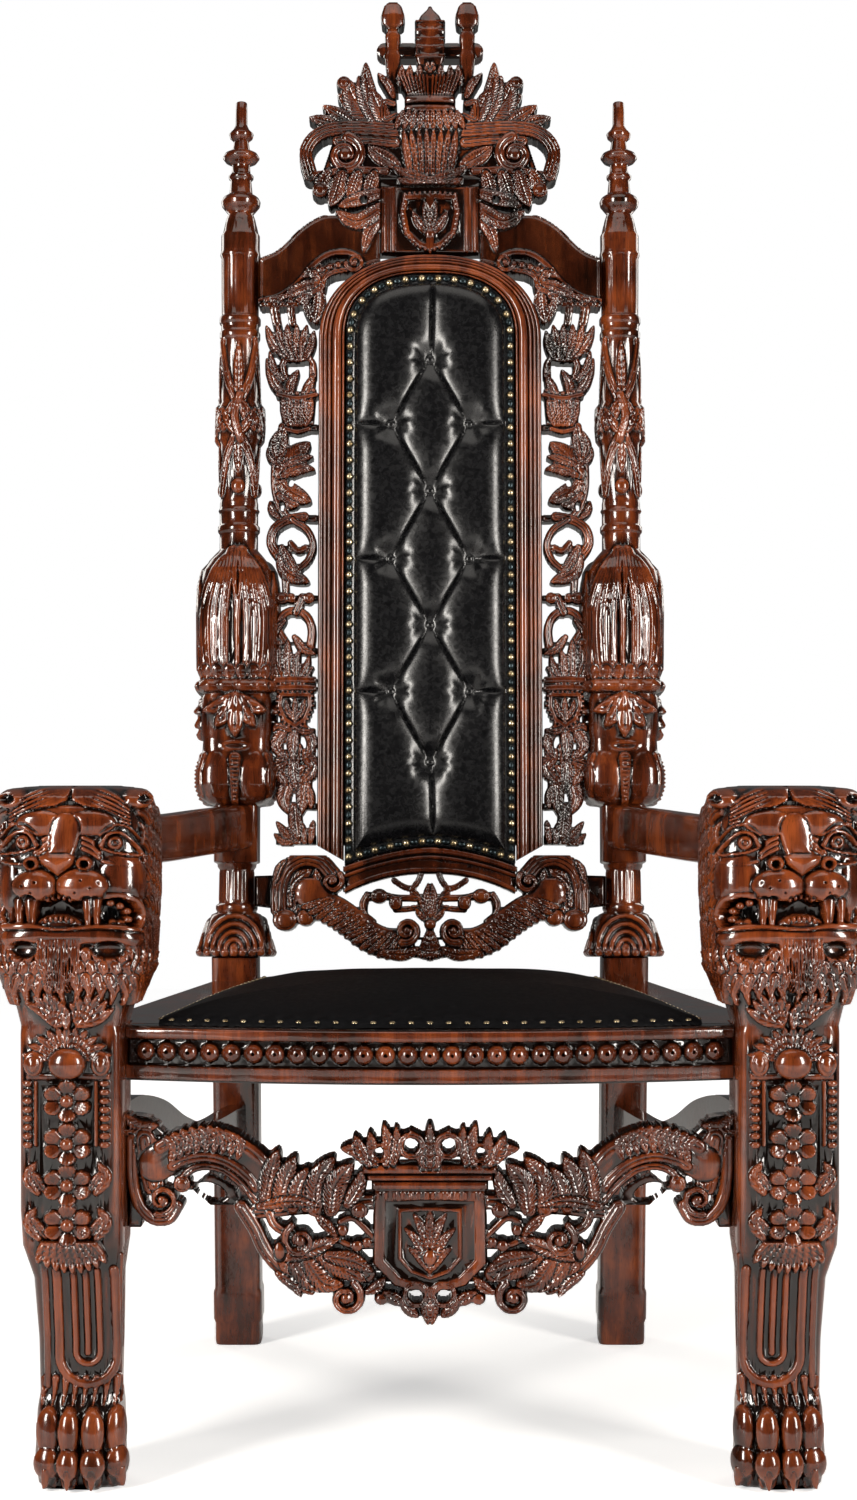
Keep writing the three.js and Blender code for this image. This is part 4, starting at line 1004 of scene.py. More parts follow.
def lion_shaft(c):
    """The fluted shaft above the paw: one U inside another round a middle rib."""
    low, high = 112, 236
    for reach, floor, width in ((31, low, 11), (13, low + 22, 8)):
        bend = [(12 + reach * math.cos(a), floor + reach + reach * math.sin(a))
                for a in np.linspace(math.pi, 2 * math.pi, 13)]
        c.strap([(12 - reach, high), *bend, (12 + reach, high)], width, lift=1.5, straight=True)
    c.strap([(12, high), (12, low + 34)], 8, lift=1.5, rise=3.5)
    for u in (-32, 56):
        c.strap([(u, 250), (u, 110)], 9, lift=-1)
    # shell drape
    for k in range(9):
        spread_u = (k - 4) / 4
        c.leaf((-2 + 18 * spread_u, 274), (-1 + 32 * spread_u, 254),
               (36 * spread_u, 232 + 12 * spread_u ** 2), 15, lift=4, rise=7, flute=6, curl=0.6)


def lion_flowers(c):
    """A sunk panel of flowers, and what stands between it and the head."""
    # sunk field with a frame, notched strips and buds
    c.block(-44, 268, 36, 442, [(0, 0), (4, -2.5), (9, -2.5)])
    for u in (-37, 28):
        c.strap([(u, 440), (u, 372)], 5, rise=3.5)
    for z in np.arange(372, 440, 9.5):
        for u in (-46, 37):
            c.boss(u, z, 6.5, 4.2)
    for z in (337, 288):
        for side, u in ((-1, -39), (1, 32)):
            c.leaf((u - 4 * side, z - 16), (u + 6 * side, z), (u - 2 * side, z + 17), 15, rise=6, flute=7)
            c.leaf((u, z + 4), (u - 8 * side, z - 8), (u - 14 * side, z - 18), 11, flute=7)
    for z in (420, 373.5, 329, 286):
        c.flower(-3, z, 28, 23.5, lift=1.5, rise=9)
    # ball between side knobs, under a palmette
    c.block(-48, 442, 44, 450, [(0, 0), (2, 3)])
    for side in (-1, 1):
        for k in range(5):
            lean = 0.25 + 0.28 * k
            u, z = -3 + side * 20 * math.sin(lean), 462 + 16 * math.cos(lean)
            c.leaf((u, z), (u + side * 12 * math.sin(lean * 0.8), z + 12 * math.cos(lean)),
                   (u + side * (22 + 2 * k) * math.sin(lean * 0.95), z + 24 * math.cos(lean * 1.02)), 11,
                   lift=1, flute=8)
    c.leaf((-3, 476), (-3, 490), (-3, 504), 12, lift=2, flute=8)
    c.boss(-3, 460, 21, 18, lift=3, rise=14)
    for u in (-39, 33):
        c.boss(u, 460, 11, 15, lift=1, rise=8, ring=0.6)
        c.boss(u, 458, 5, 8, lift=6)
    # two leaf fans under the ruff
    for side in (-1, 1):
        for k in range(6):
            turn = math.radians(-52 + 24 * k)
            base = (-2 + side * 12, 502)
            tip = (base[0] + side * 12 + 27 * math.sin(turn), base[1] + 8 + 27 * math.cos(turn))
            middle = ((base[0] + tip[0]) / 2 + 3 * math.cos(turn),
                      (base[1] + tip[1]) / 2 - 3 * math.sin(turn))
            c.leaf(base, middle, tip, 14, lift=3, rise=6, flute=9, curl=0.7)
    c.leaf((-3, 500), (-3, 512), (-3, 522), 12, lift=5, flute=8)


def lion_mane(c):
    """Locks that sweep back from the face round the sides of the head, and the ruff under the jaw."""
    for side in (-1, 1):
        for row in range(6):
            for lock in range(4):
                a = side * (84 + 30 * lock)
                z = 728 - 30 * row - 5 * lock
                c.scroll([(a - side * 14, z + 12), (a, z + 6), (a + side * 14, z - 8),
                          (a + side * 24, z - 32)], 26, rise=7, grooves=3, cut=1.2, taper=0.75)
        for row in range(3):
            for lock in range(13):
                a = side * (5 + 6 * (row % 2) + 12.5 * lock)
                z = 572 - 13 * row - 0.5 * lock
                c.scroll([(a, z + 8), (a + side * 2, z), (a + side * 4, z - 9), (a + side, z - 20)], 14,
                         lift=3 - row, rise=7, grooves=2, taper=0.65)
        for lock in range(9):
            a = side * (66 + 15 * lock)
            c.scroll([(a, 604), (a + side * 3, 590), (a + side * 5, 576), (a, 562)], 17, lift=1, rise=7,
                     grooves=3, cut=1.2, taper=0.5)


def lion_face(c):
    """The face turns a little outwards, so its middle line lies left of the leg's."""
    middle = FACE_MIDDLE
    # smooth ground of the face and cheeks
    c.panel([(-72, 596), (-76, 640), (-74, 720), (-62, 744), (66, 744), (78, 716), (82, 640), (74, 600)],
            [(0, 0), (8, 3), (20, 5)])
    # hair combed down from the parting
    for k in range(6):
        drop = 4.2 * k
        for side in (-1, 1):
            c.strap([(side * (3 + 0.5 * k), 757 - drop * 0.55), (side * 24, 757 - drop),
                     (side * 46, 749 - drop * 1.15), (side * 62, 737 - drop * 0.9)], 7, lift=4 + 0.5 * k,
                    taper=0.4)
    # ears
    for u, wide in ((-64, 15), (74, 17)):
        c.boss(u, 747, wide + 2, 13, lift=3, rise=14)
        c.boss(u + 1, 745, wide * 0.55, 5.5, lift=10, rise=-4)
    # forehead, brow bulges and the bridge of the nose
    c.boss(-2, 722, 58, 17, lift=4, rise=5)
    each(c.boss, [(-30, 719, 27, 14), (22, 719, 28, 14)], lift=6, rise=8)
    c.strap([(-3, 714), (-7, 700), (-12, 687)], 34, lift=6, rise=7)
    for k in range(3):
        each(c.strap, [([(-22, 704 - 6 * k), (-31, 699 - 6 * k), (-36, 692 - 5 * k)], 6),
                       ([(15, 704 - 6 * k), (25, 699 - 6 * k), (32, 692 - 5 * k)], 6)], lift=6.5, rise=3.5)
    # cheeks
    c.boss(58, 655, 28, 34, lift=3, rise=7)
    c.boss(-66, 655, 14, 32, lift=3, rise=5)
    for u, z in ((-49, 699), (48, 698)):
        lion_eye(c, u, z, -1 if u < 0 else 1)
    # muzzle with whisker holes
    each(c.boss, [(-35, 652, 24, 18.5), (14, 652, 29, 19.5)], lift=7, rise=16)
    for u, z in ((-46, 652), (-38, 645), (-34, 656), (8, 645), (14, 658), (24, 650), (32, 656), (28, 641)):
        c.boss(u, z, 1.7, lift=20.5, rise=-3)
    # nose pad and nostrils
    for u, wide in ((-39, 9), (17, 10)):
        c.boss(u, 676, wide, 9, lift=9, rise=10)
        c.boss(u, 675.5, wide * 0.5, 4.6, lift=16, rise=-14)
    c.panel([(-33, 684), (-22, 688), (-2, 688), (8, 684), (6, 675), (-2, 668), (middle, 661), (-21, 668),
             (-30, 675)], [(0, 11), (4, 16), (10, 20)])
    lion_mouth(c, middle)
    # jaw, hollows beside the chin, and the beard
    c.strap([(-66, 596), (-36, 598), (middle, 596), (34, 598), (70, 594)], 17, lift=4, rise=6)
    for u, wide in ((-49, 15), (42, 19)):
        c.boss(u, 583, wide, 10, lift=1.5, rise=-9)
    for k in range(13):
        u = middle - 21 + 3.6 * k
        c.strap([(u, 594), (u - 1, 574), (middle + (u - middle) * 0.8, 554),
                 (middle + (u - middle) * 0.5, 537)], 5.4, lift=6 - 0.15 * abs(k - 6), taper=0.55)


def lion_eye(c, u, z, side):
    """An almond eye whose outer corner trails down the cheek, with a ringed pupil under a heavy lid."""
    c.leaf((u - side * 13, z - 1), (u + side * 2, z), (u + side * 26, z - 13), 26, lift=2.5, rise=1,
           flute=60, cut=0)
    c.boss(u, z, 8.6, 8.6, lift=2.5, rise=8)
    c.boss(u, z, 5.4, 5.4, lift=9.4, rise=0.2)
    c.boss(u, z, 4.4, 4.4, lift=7.4, rise=0.4)
    c.boss(u, z, 2.2, 2.2, lift=8.4, rise=2)
    c.strap([(u - side * 14, z - 3), (u - side * 7, z + 9), (u + side * 4, z + 11), (u + side * 14, z + 4),
             (u + side * 28, z - 13)], 6, lift=6.5, rise=4.5, taper=0.3)
    c.strap([(u - side * 13, z - 6), (u + side * 2, z - 11), (u + side * 27, z - 14)], 4.6, lift=5, rise=3.5)
    c.strap([(u - side * 15, z + 9), (u - side * 3, z + 19), (u + side * 12, z + 17),
             (u + side * 26, z + 3)], 5, lift=6, rise=3.5, taper=0.3)
    c.strap([(u - side * 12, z - 20), (u + side * 6, z - 24), (u + side * 25, z - 21)], 5, lift=5, rise=3.5,
            taper=0.3)


def lion_mouth(c, middle):
    """An open snarling mouth: dark hollow, fangs, small teeth and the lower lip."""
    c.panel([(-63, 622), (-56, 634), (-42, 637), (-26, 636), (middle, 644), (4, 636), (34, 637), (52, 640),
             (68, 634), (76, 620), (72, 604), (30, 607), (middle, 603), (-46, 607), (-62, 611)],
            [(0, -2), (3, -11), (8, -15)])
    c.boss(middle, 607, 28, 15, lift=-4, rise=12)
    for k in range(6):
        c.boss(middle - 14 + 5.6 * k, 617 - 0.3 * (k - 2.5) ** 2, 3, 5, lift=5, rise=5)
    for k in range(5):
        c.boss(middle - 12 + 6 * k, 637 + 1.6 * (2 - abs(k - 2)), 3.2, 4.4, lift=2, rise=6)
    for u, wide in ((-53, 7), (-41, 8.5), (20, 7.5), (29, 7)):
        c.strap([(u, 635), (u, 622), (u + 1, 607)], wide * 1.9, rise=9, taper=0.45)
    for u, z in ((44, 633), (54, 630), (62, 624), (46, 612), (55, 611), (63, 615)):
        c.boss(u, z, 6, 5, lift=-3, rise=8)
    c.strap([(40, 643), (58, 642), (73, 633), (79, 617), (70, 602)], 7, lift=4, rise=5)
    c.strap([(-66, 608), (-44, 608), (middle, 603), (34, 607), (60, 605), (72, 601)], 9, lift=7, rise=6)


# ---- back posts --------------------------------------------------------------------------------------
POST_DEPTH = 30  # depth of a post's axis behind the front face of the back, mm


def post_rows(profile):
    """Rows for a post on its own axis, from (level, half width, power)."""
    return [(v, half, POST_DEPTH - half, POST_DEPTH + half, power, 0) for v, half, power in profile]


POST_PROFILE = [(49.5, 48, 4), (56, 49, 4), (66, 45, 4), (80, 41, 4), (98, 36, 3.5), (106, 33, 3),
                (109, 26, 2.4), (113, 28, 2), (118, 28, 2), (121, 24, 2), (166, 23, 2), (170, 26, 2),
                (174, 26, 2.4), (176, 30, 6), (252, 30, 6), (253, 38, 5), (262, 46, 5), (278, 51, 5),
                (300, 51, 5), (322, 46, 5), (340, 45, 5), (350, 47, 5), (374, 48, 5), (396, 47, 5),
                (400, 45, 5), (404, 49, 5), (411, 51, 5), (418, 49, 5), (424, 46, 5), (432, 49, 5),
                (520, 50, 5), (548, 49.5, 4.5), (570, 46, 4), (584, 39, 3.4), (593, 32, 2.8), (600, 26, 2.4),
                (622, 26, 2), (625, 28.5, 2), (632, 28.5, 2), (635, 26, 2), (650, 26, 2), (654, 28, 2),
                (658, 26, 2), (664, 26, 2), (668, 25, 2.2), (745, 25, 2.2), (752, 28, 2.2), (775, 29, 2.2),
                (797, 28, 2.2), (804, 25, 2.2), (888, 25, 2.2), (893, 27.5, 2.4), (900, 27.5, 2.6),
                (903, 25.5, 2.6), (911, 25.5, 2.6), (914, 28, 2.6), (921, 28, 2.6), (924, 25, 2.6),
                (960, 25.5, 2.6), (1004, 26, 2.6), (1008, 27.5, 2.6), (1014, 26, 2.6), (1036, 26, 2.6),
                (1040, 24, 2.4), (1059, 20, 2.2), (1067, 17, 2), (1073, 22, 2), (1078, 26, 2), (1084, 27, 2),
                (1090, 24, 2), (1095, 16, 2), (1114, 14, 2), (1117, 17, 2), (1121, 17, 2), (1124, 13, 2),
                (1136, 12, 2), (1140, 21, 2), (1146, 25.5, 2), (1152, 22, 2), (1157, 12, 2), (1169, 10, 2),
                (1174, 15.5, 2), (1180, 17, 2), (1186, 11, 2), (1192, 8.2, 2), (1212, 8, 2), (1224, 7.6, 2),
                (1225.6, 5, 2), (1226, 1.0, 2), ]
REAR_LEG = [(0, 30.5, 6), (2, 31, 8), (34, 31, 8), (36, 33, 8), (74, 33, 8), (77, 31, 8), (529, 31, 8)]


def on_left_post(u, depth, v):
    """A point beside the axis of the left back post."""
    return on_back(u - POST_X, depth, v)


def on_left_rear_leg(u, depth, z):
    """The rear leg splays back towards its foot."""
    splay, clear = 57, 1.0  # how far back the foot stands, and the skin in front of the leg, mm
    front = FOOT_DEPTH + (FOOT_Z - z) * splay / FOOT_Z
    return np.stack([u - POST_X, front + depth + clear + SHIFT, z], -1)


def post():
    """The carving round a back post, from its skirt to the eight-sided shaft under the finial."""
    c = Carving((-190, 49), (190, 1226), step=1.3, solid=True)
    post_skirt(c)
    post_block(c)
    # flutes round the turned column
    for k in range(-5, 6):
        c.strap([(14.6 * k, 126), (14.6 * k, 162)], 10, lift=-2, rise=3)
    # crossed ribbons, tied in the middle, over a plain core
    for k in range(-3, 4):
        middle = 52 * k
        for side in (-1, 1):
            each(c.scroll,
                 [([(middle + side * 27, 886), (middle + side * 18, 842), (middle + side * 2, 798)], 12),
                  ([(middle + side * 3, 756), (middle + side * 17, 722), (middle + side * 26, 676)], 12)],
                 grooves=2, cut=1.2)
            c.leaf((middle + side * 4, 800), (middle + side * 12, 782), (middle + side * 23, 760), 17,
                   rise=6, flute=7)
            c.leaf((middle + side * 4, 758), (middle + side * 13, 772), (middle + side * 24, 794), 15,
                   flute=7)
        each(c.leaf, [((middle, 806), (middle, 846), (middle, 884), 15),
                      ((middle, 752), (middle, 726), (middle, 704), 13)], rise=3.5, flute=9)
        c.scroll([(middle + 2, 810), (middle - 4, 780), (middle + 3, 748)], 11, lift=2, rise=5, grooves=2,
                 cut=1.2)
        c.boss(middle, 685, 10, 11, rise=7)
        c.boss(middle + 26, 776, 8, 12, rise=6, ring=0.6)
    # eight-sided shaft
    for k in range(-4, 5):
        c.strap([(20.2 * k, 926), (20.2 * k, 1000)], 15, lift=-1.6, rise=1.8)
        c.strap([(20.2 * k, 1012), (20.2 * k, 1050)], 14, lift=-1.2, rise=1.6)
    return c


def post_skirt(c):
    """Nested arcs on the front and the sides of the skirt, over a scalloped hem."""
    for a0 in (-88, 0, 88):
        for reach, tall in ((37, 47), (28.5, 36), (20, 25.5), (11.5, 15)):
            arc = [(a0 + reach * math.cos(t), 57 + tall * math.sin(t)) for t in np.linspace(0, math.pi, 13)]
            c.strap(arc, 7, lift=1, straight=True)
        c.boss(a0, 60, 6, 8, lift=1)
        for k in range(7):
            c.boss(a0 - 36 + 12 * k, 55, 6.2, 6, lift=0.5)


def post_block(c):
    """Three faces of the square block under the column: volute, palmette, roll and leaves."""
    for a0 in (-94, 0, 94):
        # lower volute: two smooth swellings beside a ribbed strip
        for side in (-1, 1):
            c.boss(a0 + side * 27, 288, 20, 36, rise=2.6)
            c.scroll([(a0 + side * 46, 262), (a0 + side * 49, 290), (a0 + side * 42, 318)], 9)
        c.strap([(a0, 314), (a0, 254)], 17, lift=3, rise=2, taper=0.4)
        for k, z in enumerate(np.arange(256, 314, 5.6)):
            c.boss(a0, z, 4.2 + 0.5 * k, 2.7, lift=4)
        # a long incised loop
        c.boss(a0, 330, 23, 7.7, lift=0.4, rise=1.6)
        c.boss(a0, 330, 17, 4.2, lift=0.2, rise=-1.2)
        # hanging palmette
        for turn, reach, wide in ((62, 46, 21), (-62, 46, 21), (32, 50, 22), (-32, 50, 22), (0, 56, 25)):
            t = math.radians(turn)
            tip = (a0 + reach * math.sin(t), 397 - reach * math.cos(t))
            c.leaf((a0 + 3 * math.sin(t), 396), ((a0 + tip[0]) / 2, (396 + tip[1]) / 2 - 2), tip, wide,
                   lift=0.5, rise=7, flute=30, cut=2, curl=0.9)
        # ribbed roll
        c.strap([(a0 - 45, 411), (a0 + 45, 411)], 17)
        for k in (-1.5, -0.5, 0.5, 1.5):
            c.boss(a0 + 25 * k, 411, 12.5, 8.8, lift=1.5, rise=5)
        # long overlapping leaves over the domed top, parted in the middle
        for side in (-1, 1):
            for k in range(4):
                out = 44 - 9.5 * k
                c.scroll([(a0 + side * (3 + 1.2 * k), 596), (a0 + side * out * 0.62, 566),
                          (a0 + side * out, 516), (a0 + side * out * 1.02, 470 - 5 * k),
                          (a0 + side * out * 0.92, 428)], 15, lift=0.6 * k, rise=5, grooves=2, cut=1.3,
                         taper=0.15)
        c.scroll([(a0, 596), (a0 - 2, 560), (a0, 520), (a0, 470)], 10, lift=3, taper=0.6)
        c.strap([(a0 + 8, 560), (a0 + 3, 500), (a0 + 3, 430)], 8, lift=3)
        for k in (-2.5, -1.5, -0.5, 0.5, 1.5, 2.5):
            c.boss(a0 + 16 * k, 430, 8.6, 11, lift=0.5)


# ---- frame mouldings, rails and arms -----------------------------------------------------------------
SPRING = 884.0         # height up the back where the arch starts, mm
LOW_RAIL_HALF = 113.4  # half the length of the bottom rail of the back, mm
# reeds of the moulding: middle and half width as shares of its width, and rise in mm
REEDS = [(0.09, 0.085, 2.5), (0.26, 0.075, 4.5), (0.42, 0.075, 5.5), (0.70, 0.19, 7.0), (0.95, 0.05, 4.0)]


def squared(wave, power):
    """A sine or cosine for a circle drawn out towards a square: the higher the power, the squarer."""
    return np.sign(wave) * np.abs(wave) ** (2 / power)


def arch_line(half, rise, power, count=48):
    """The arch from right to left, as points across and up the back."""
    a = np.linspace(0, math.pi, count)
    return np.stack([half * squared(np.cos(a), power), SPRING + rise * squared(np.sin(a), power)], -1)


def loft_piece(name, rings, tones, replaced, sharp=40):
    """Skins rings of equal length, given in mm of the room, and caps both ends."""
    rings = np.asarray(rings, float)
    number, quads = ring_quads(*rings.shape[:2])
    mesh = bpy.data.meshes.new(name)
    faces = [*quads.tolist(), number[0][::-1].tolist(), number[-1].tolist()]
    mesh.from_pydata((rings.reshape(-1, 3) * MM).tolist(), [], faces)
    mesh.update()
    set_recess(mesh, np.broadcast_to(tones, number.shape).ravel())
    outwards = bmesh.new()
    outwards.from_mesh(mesh)
    bmesh.ops.recalc_face_normals(outwards, faces=outwards.faces)
    outwards.to_mesh(mesh)
    outwards.free()
    return add_piece(name, mesh, MAHOGANY, replaced, sharp)


def reeded(outer, inner, rear):
    """Rings of a reeded moulding between an outer and an inner line on the back."""
    share = np.linspace(0, 1, 61)
    # tone: painted shade in the grooves between the reeds, painted lighter on the reeds themselves for wear
    # and highlight
    high, tone = np.full(share.shape, -0.5), np.full(share.shape, 0.8)
    for middle, half, rise in REEDS:
        s = np.abs(share - middle) / half
        body = rise * np.sqrt(np.clip(1 - s ** 2, 0, 1))
        high, tone = np.maximum(high, body), np.where(s < 0.85, -0.25, tone)
    rings = []
    for a, b in zip(outer, inner):
        at = a + share[:, None] * (b - a)
        face = on_back(at[:, 0], -high, at[:, 1])
        rest = on_back(np.array([b[0], a[0]]), np.array([rear, rear]), np.array([b[1], a[1]]))
        rings.append(np.concatenate([face, rest]))
    return rings, np.concatenate([tone, [0, 0]])


def back_frame():
    """Two stiles with the arch sprung between them."""
    outer, inner, thick = 151.0, 116.0, 28
    rows = np.linspace(0, 1, 12)[:, None]
    edges = [np.array([-u, low]) + rows * np.array([0, SPRING - 0.3 - low]) for u,
             low in ((outer, 198.0), (inner, 178.0))]
    pair(loft_piece, "stile_left", *reeded(*edges, thick), replaced="back_stile_left")
    arch = reeded(arch_line(outer, 119, 2.2), arch_line(inner, 93, 2.5), thick)
    loft_piece("arch", *arch, replaced=["back_arch"])


def rail_top(u):
    """Height of its upper edge up the back."""
    return 196 - 25 * np.abs(u / LOW_RAIL_HALF) ** 1.7


def bottom_rail():
    """The rail under the leather of the back, dipping in its middle."""
    c = Carving((-116, 128), (116, 200))
    across = np.linspace(-LOW_RAIL_HALF, LOW_RAIL_HALF, 25)
    low = 160 - 27 * np.abs(across / LOW_RAIL_HALF) ** 2.2
    outline = np.concatenate([np.stack([across, low], -1), np.stack([across, rail_top(across)], -1)[::-1]])
    c.panel(outline, [(0, -1), (2.5, 1), (6, 2)])
    for drop, width, lift in ((5, 9, 3), (14, 6, 1.5)):
        c.strap(np.stack([across, rail_top(across) - drop], -1), width, lift=lift, rise=3, straight=True)
    c.strap(np.stack([across, low + 5], -1), 7, lift=1, rise=2.5, straight=True)
    return c


RAIL_HALF = 331.5             # half the length of the front rail, mm
RAIL_FACE = (-384.0, -335.0)  # depth of the bowed front rail in its middle and at its ends, mm


def rail_bow(u):
    """Depth of the front rail's face."""
    return RAIL_FACE[0] + (RAIL_FACE[1] - RAIL_FACE[0]) * (u / RAIL_HALF) ** 2


def on_front_rail(u, depth, v):
    """A point beside the bowed face of the front rail."""
    return np.stack([u, rail_bow(u) + depth + SHIFT, v], -1)


def front_rail():
    """A row of drilled discs between two mouldings."""
    c = Carving((-RAIL_HALF, 438), (RAIL_HALF, 497))
    half = RAIL_HALF
    c.block(-half, 438, half, 497, [(0, -7), (4, -7)])
    c.strap([(-half, 490), (half, 490)], 15, lift=-1, rise=4.5, straight=True)
    c.block(-half - 9, 484, half + 9, 497, [(0, 1), (1.5, 4), (4, 5)])
    c.block(-half - 9, 438, half + 9, 456, [(0, -1), (2, 1), (4, 1.5)])
    c.strap([(-half, 453), (half, 453)], 4, lift=0.5, rise=2, straight=True)
    discs = 27
    pitch = 2 * (half - 9) / discs
    for k in range(discs):
        u = (k - (discs - 1) / 2) * pitch
        c.boss(u, 470, pitch * 0.49, 11.2, lift=-7, rise=13)
        c.boss(u, 470, 2.2, lift=3, rise=-3)
    return c


def arm():
    """A plain arm with flat sides and softened edges, from the lion's head to the back post."""
    path = smooth([(-385, -199.7, 708), (-381, -60, 696), (-352, 100, 690), (-300, 220, 696),
                   (-262, 268, 701)], 30)[:-3]
    a = np.linspace(0, math.tau, 33)[:-1]
    wide, tall = squared(np.cos(a), 5), 30 * squared(np.sin(a), 5)
    way = np.gradient(path, axis=0)
    way[0] = (0, 1, 0)
    rings = []
    for at, (wx, wy, _), s in zip(path, way, np.hypot(way[:, 0], way[:, 1])):
        rings.append(np.stack([at[0] + 20 * wide * wy / s, at[1] - 20 * wide * wx / s + SHIFT, at[2] + tall],
                              -1))
    rings.append(on_back(-261 + 24 * wide, np.full(a.shape, -0.3), 222 + tall))
    # tone -0.1: the arm is painted a little lighter all over, as proud edges are for wear and highlight
    pair(loft_piece, "arm_left_smooth", rings, -0.1, replaced="arm_left", sharp=60)


def side_stretcher():
    """A scalloped board between a lion leg and a rear leg, seen from its outer side."""
    c = Carving((-274, 276), (290, 408), step=1.8)
    top = smooth([(-271.7, 398), (-200, 404), (-100, 386), (0, 352), (110, 330), (282.5, 330)], 40)
    low = smooth([(287.9, 284), (150, 282), (40, 296), (-60, 326), (-150, 344), (-222, 330), (-236, 290),
                  (-271.7, 280)], 50)
    c.panel(np.concatenate([top, low]), [(0, -1), (3, 0), (7, 0.5)])
    each(c.strap, [(top - (0, 8), 9), (low + (0, 8), 8)], rise=3, straight=True)
    return c


def on_side_stretcher(u, depth, v):
    """It runs from the lion leg inwards to the rear leg: 96 mm in 546."""
    return np.stack([-370 + 96 / 546 * (u + 271.7) + depth, u + SHIFT, v], -1)


# ---- leather and nails -------------------------------------------------------------------------------
LEATHER_HALF = 115.7  # half the width of the leather on the back, mm
MIDDLE_BUTTONS = [(0, 857), (0, 677), (0, 494), (0, 309)]
SIDE_BUTTONS = [(s * 53, v) for s in (1, -1) for v in (768, 584, 404)]
FAR = 99.0            # mm, farther than any fold or button reaches


def back_outline(inset):
    """The lower edge from left to right, and the arched edge back again."""
    half = LEATHER_HALF - inset
    across = np.linspace(-half, half, 31)
    low = np.stack([across, rail_top(across) + 0.4 + inset], -1)
    return low, arch_line(half, 92.7 - inset, 2.5)


def tufted_back():
    """Leather drawn down at the buttons, with folds from button to button and out to the nailed band."""
    c = Carving((-116, 168), (116, 978), step=1.5)
    low, top = back_outline(0)
    c.panel(np.concatenate([low, top]), [(0, -1.5), (2, 0.5), (14, 0.5)])
    low, top = back_outline(14)
    inside = polygon_inside(np.concatenate([low, top]), c.u, c.v)
    folds = [(one, two) for one in MIDDLE_BUTTONS for two in SIDE_BUTTONS if abs(one[1] - two[1]) < 100]
    folds += [((u, v), (math.copysign(103, u), v + 1)) for u, v in SIDE_BUTTONS]
    folds += [((2, 857), (4, 968)), ((2, 309), (4, 208))]
    fold = np.full(c.u.shape, FAR)
    for a, b in folds:
        fold = np.minimum(fold, along(np.array([a, b], float), c.u, c.v)[1])
    button = np.full(c.u.shape, FAR)
    turn = np.zeros(c.u.shape)
    for u, v in MIDDLE_BUTTONS + SIDE_BUTTONS:
        gap = np.hypot(c.u - u, (c.v - v) * 0.85)
        turn = np.where(gap < button, np.arctan2(c.v - v, c.u - u), turn)
        button = np.minimum(button, gap)
    swell = np.sqrt(1 - (1 - np.clip(inside / 30, 0, 1)) ** 2)
    body = 15.5 * swell * (0.38 + 0.62 * np.sqrt(1 - (1 - np.clip(fold / 48, 0, 1)) ** 2))
    body -= 2.6 * np.exp(-(fold / 1.7) ** 2) * swell
    body *= 1 - np.exp(-(button / 17) ** 2)
    body += 0.5 * np.cos(7 * turn + 1.3 * np.sin(2 * turn)) * np.exp(-((button - 21) / 8) ** 2) * swell
    c.lay(..., inside, 0.5 + body)
    each(c.boss, MIDDLE_BUTTONS + SIDE_BUTTONS, ru=6.2, lift=1.0, rise=3.2)
    return c


SEAT_RIM = 498.5   # height of the seat's rim, mm
SEAT_HALF = 301    # half its width at the front, mm
SEAT_BACK = 20     # how far it stands back from the front rail's face, mm


def seat_outline(inset=0.0):
    """The seat in plan, from the front left corner round to the left side."""
    half = SEAT_HALF - inset
    across = np.linspace(-half, half, 41)
    bow = rail_bow(across) + SEAT_BACK + inset
    side = smooth([(half, bow[-1]), (264 - inset, 0), (224 - inset, 258 - inset)], 24)
    front = np.stack([across, bow], -1)
    return front, side, np.stack([-side[::-1, 0], side[::-1, 1]], -1)


def on_seat(u, depth, v):
    """A point over the seat: v runs to the back and depth down from its rim."""
    return np.stack([u, v + SHIFT, SEAT_RIM - depth], -1)


def seat_dome():
    """A crowned seat: leather drawn over a firm stuffing and gathered a little at the nails."""
    c = Carving((-302, -366), (302, 259), step=2.5)
    front, side, other = seat_outline()
    outline = np.concatenate([front, side[1:], other[:-1]])
    inside = polygon_inside(outline, c.u, c.v)
    t, _, _, length = along(np.vstack([outline, outline[:1]]), c.u, c.v)
    rise = np.clip(inside / 215, 0, 1)
    dome = 36.0 * (1 - (1 - rise) ** 2.3) ** 0.72
    dome *= 1 - 0.36 * np.clip((c.v + 60) / 300, 0, 1)
    gather = np.abs(np.cos(math.pi * t * length / 20.5))
    dome += 1.2 * gather * np.exp(-((inside - 9) / 7) ** 2)
    slack = np.sin(c.u / 41 + 1.7 * np.sin(c.v / 63)) * np.sin(c.v / 57 + 1.3 * np.sin(c.u / 70))
    dome += 0.7 * slack * np.clip(inside / 60, 0, 1)
    c.lay(..., inside, dome)
    return c


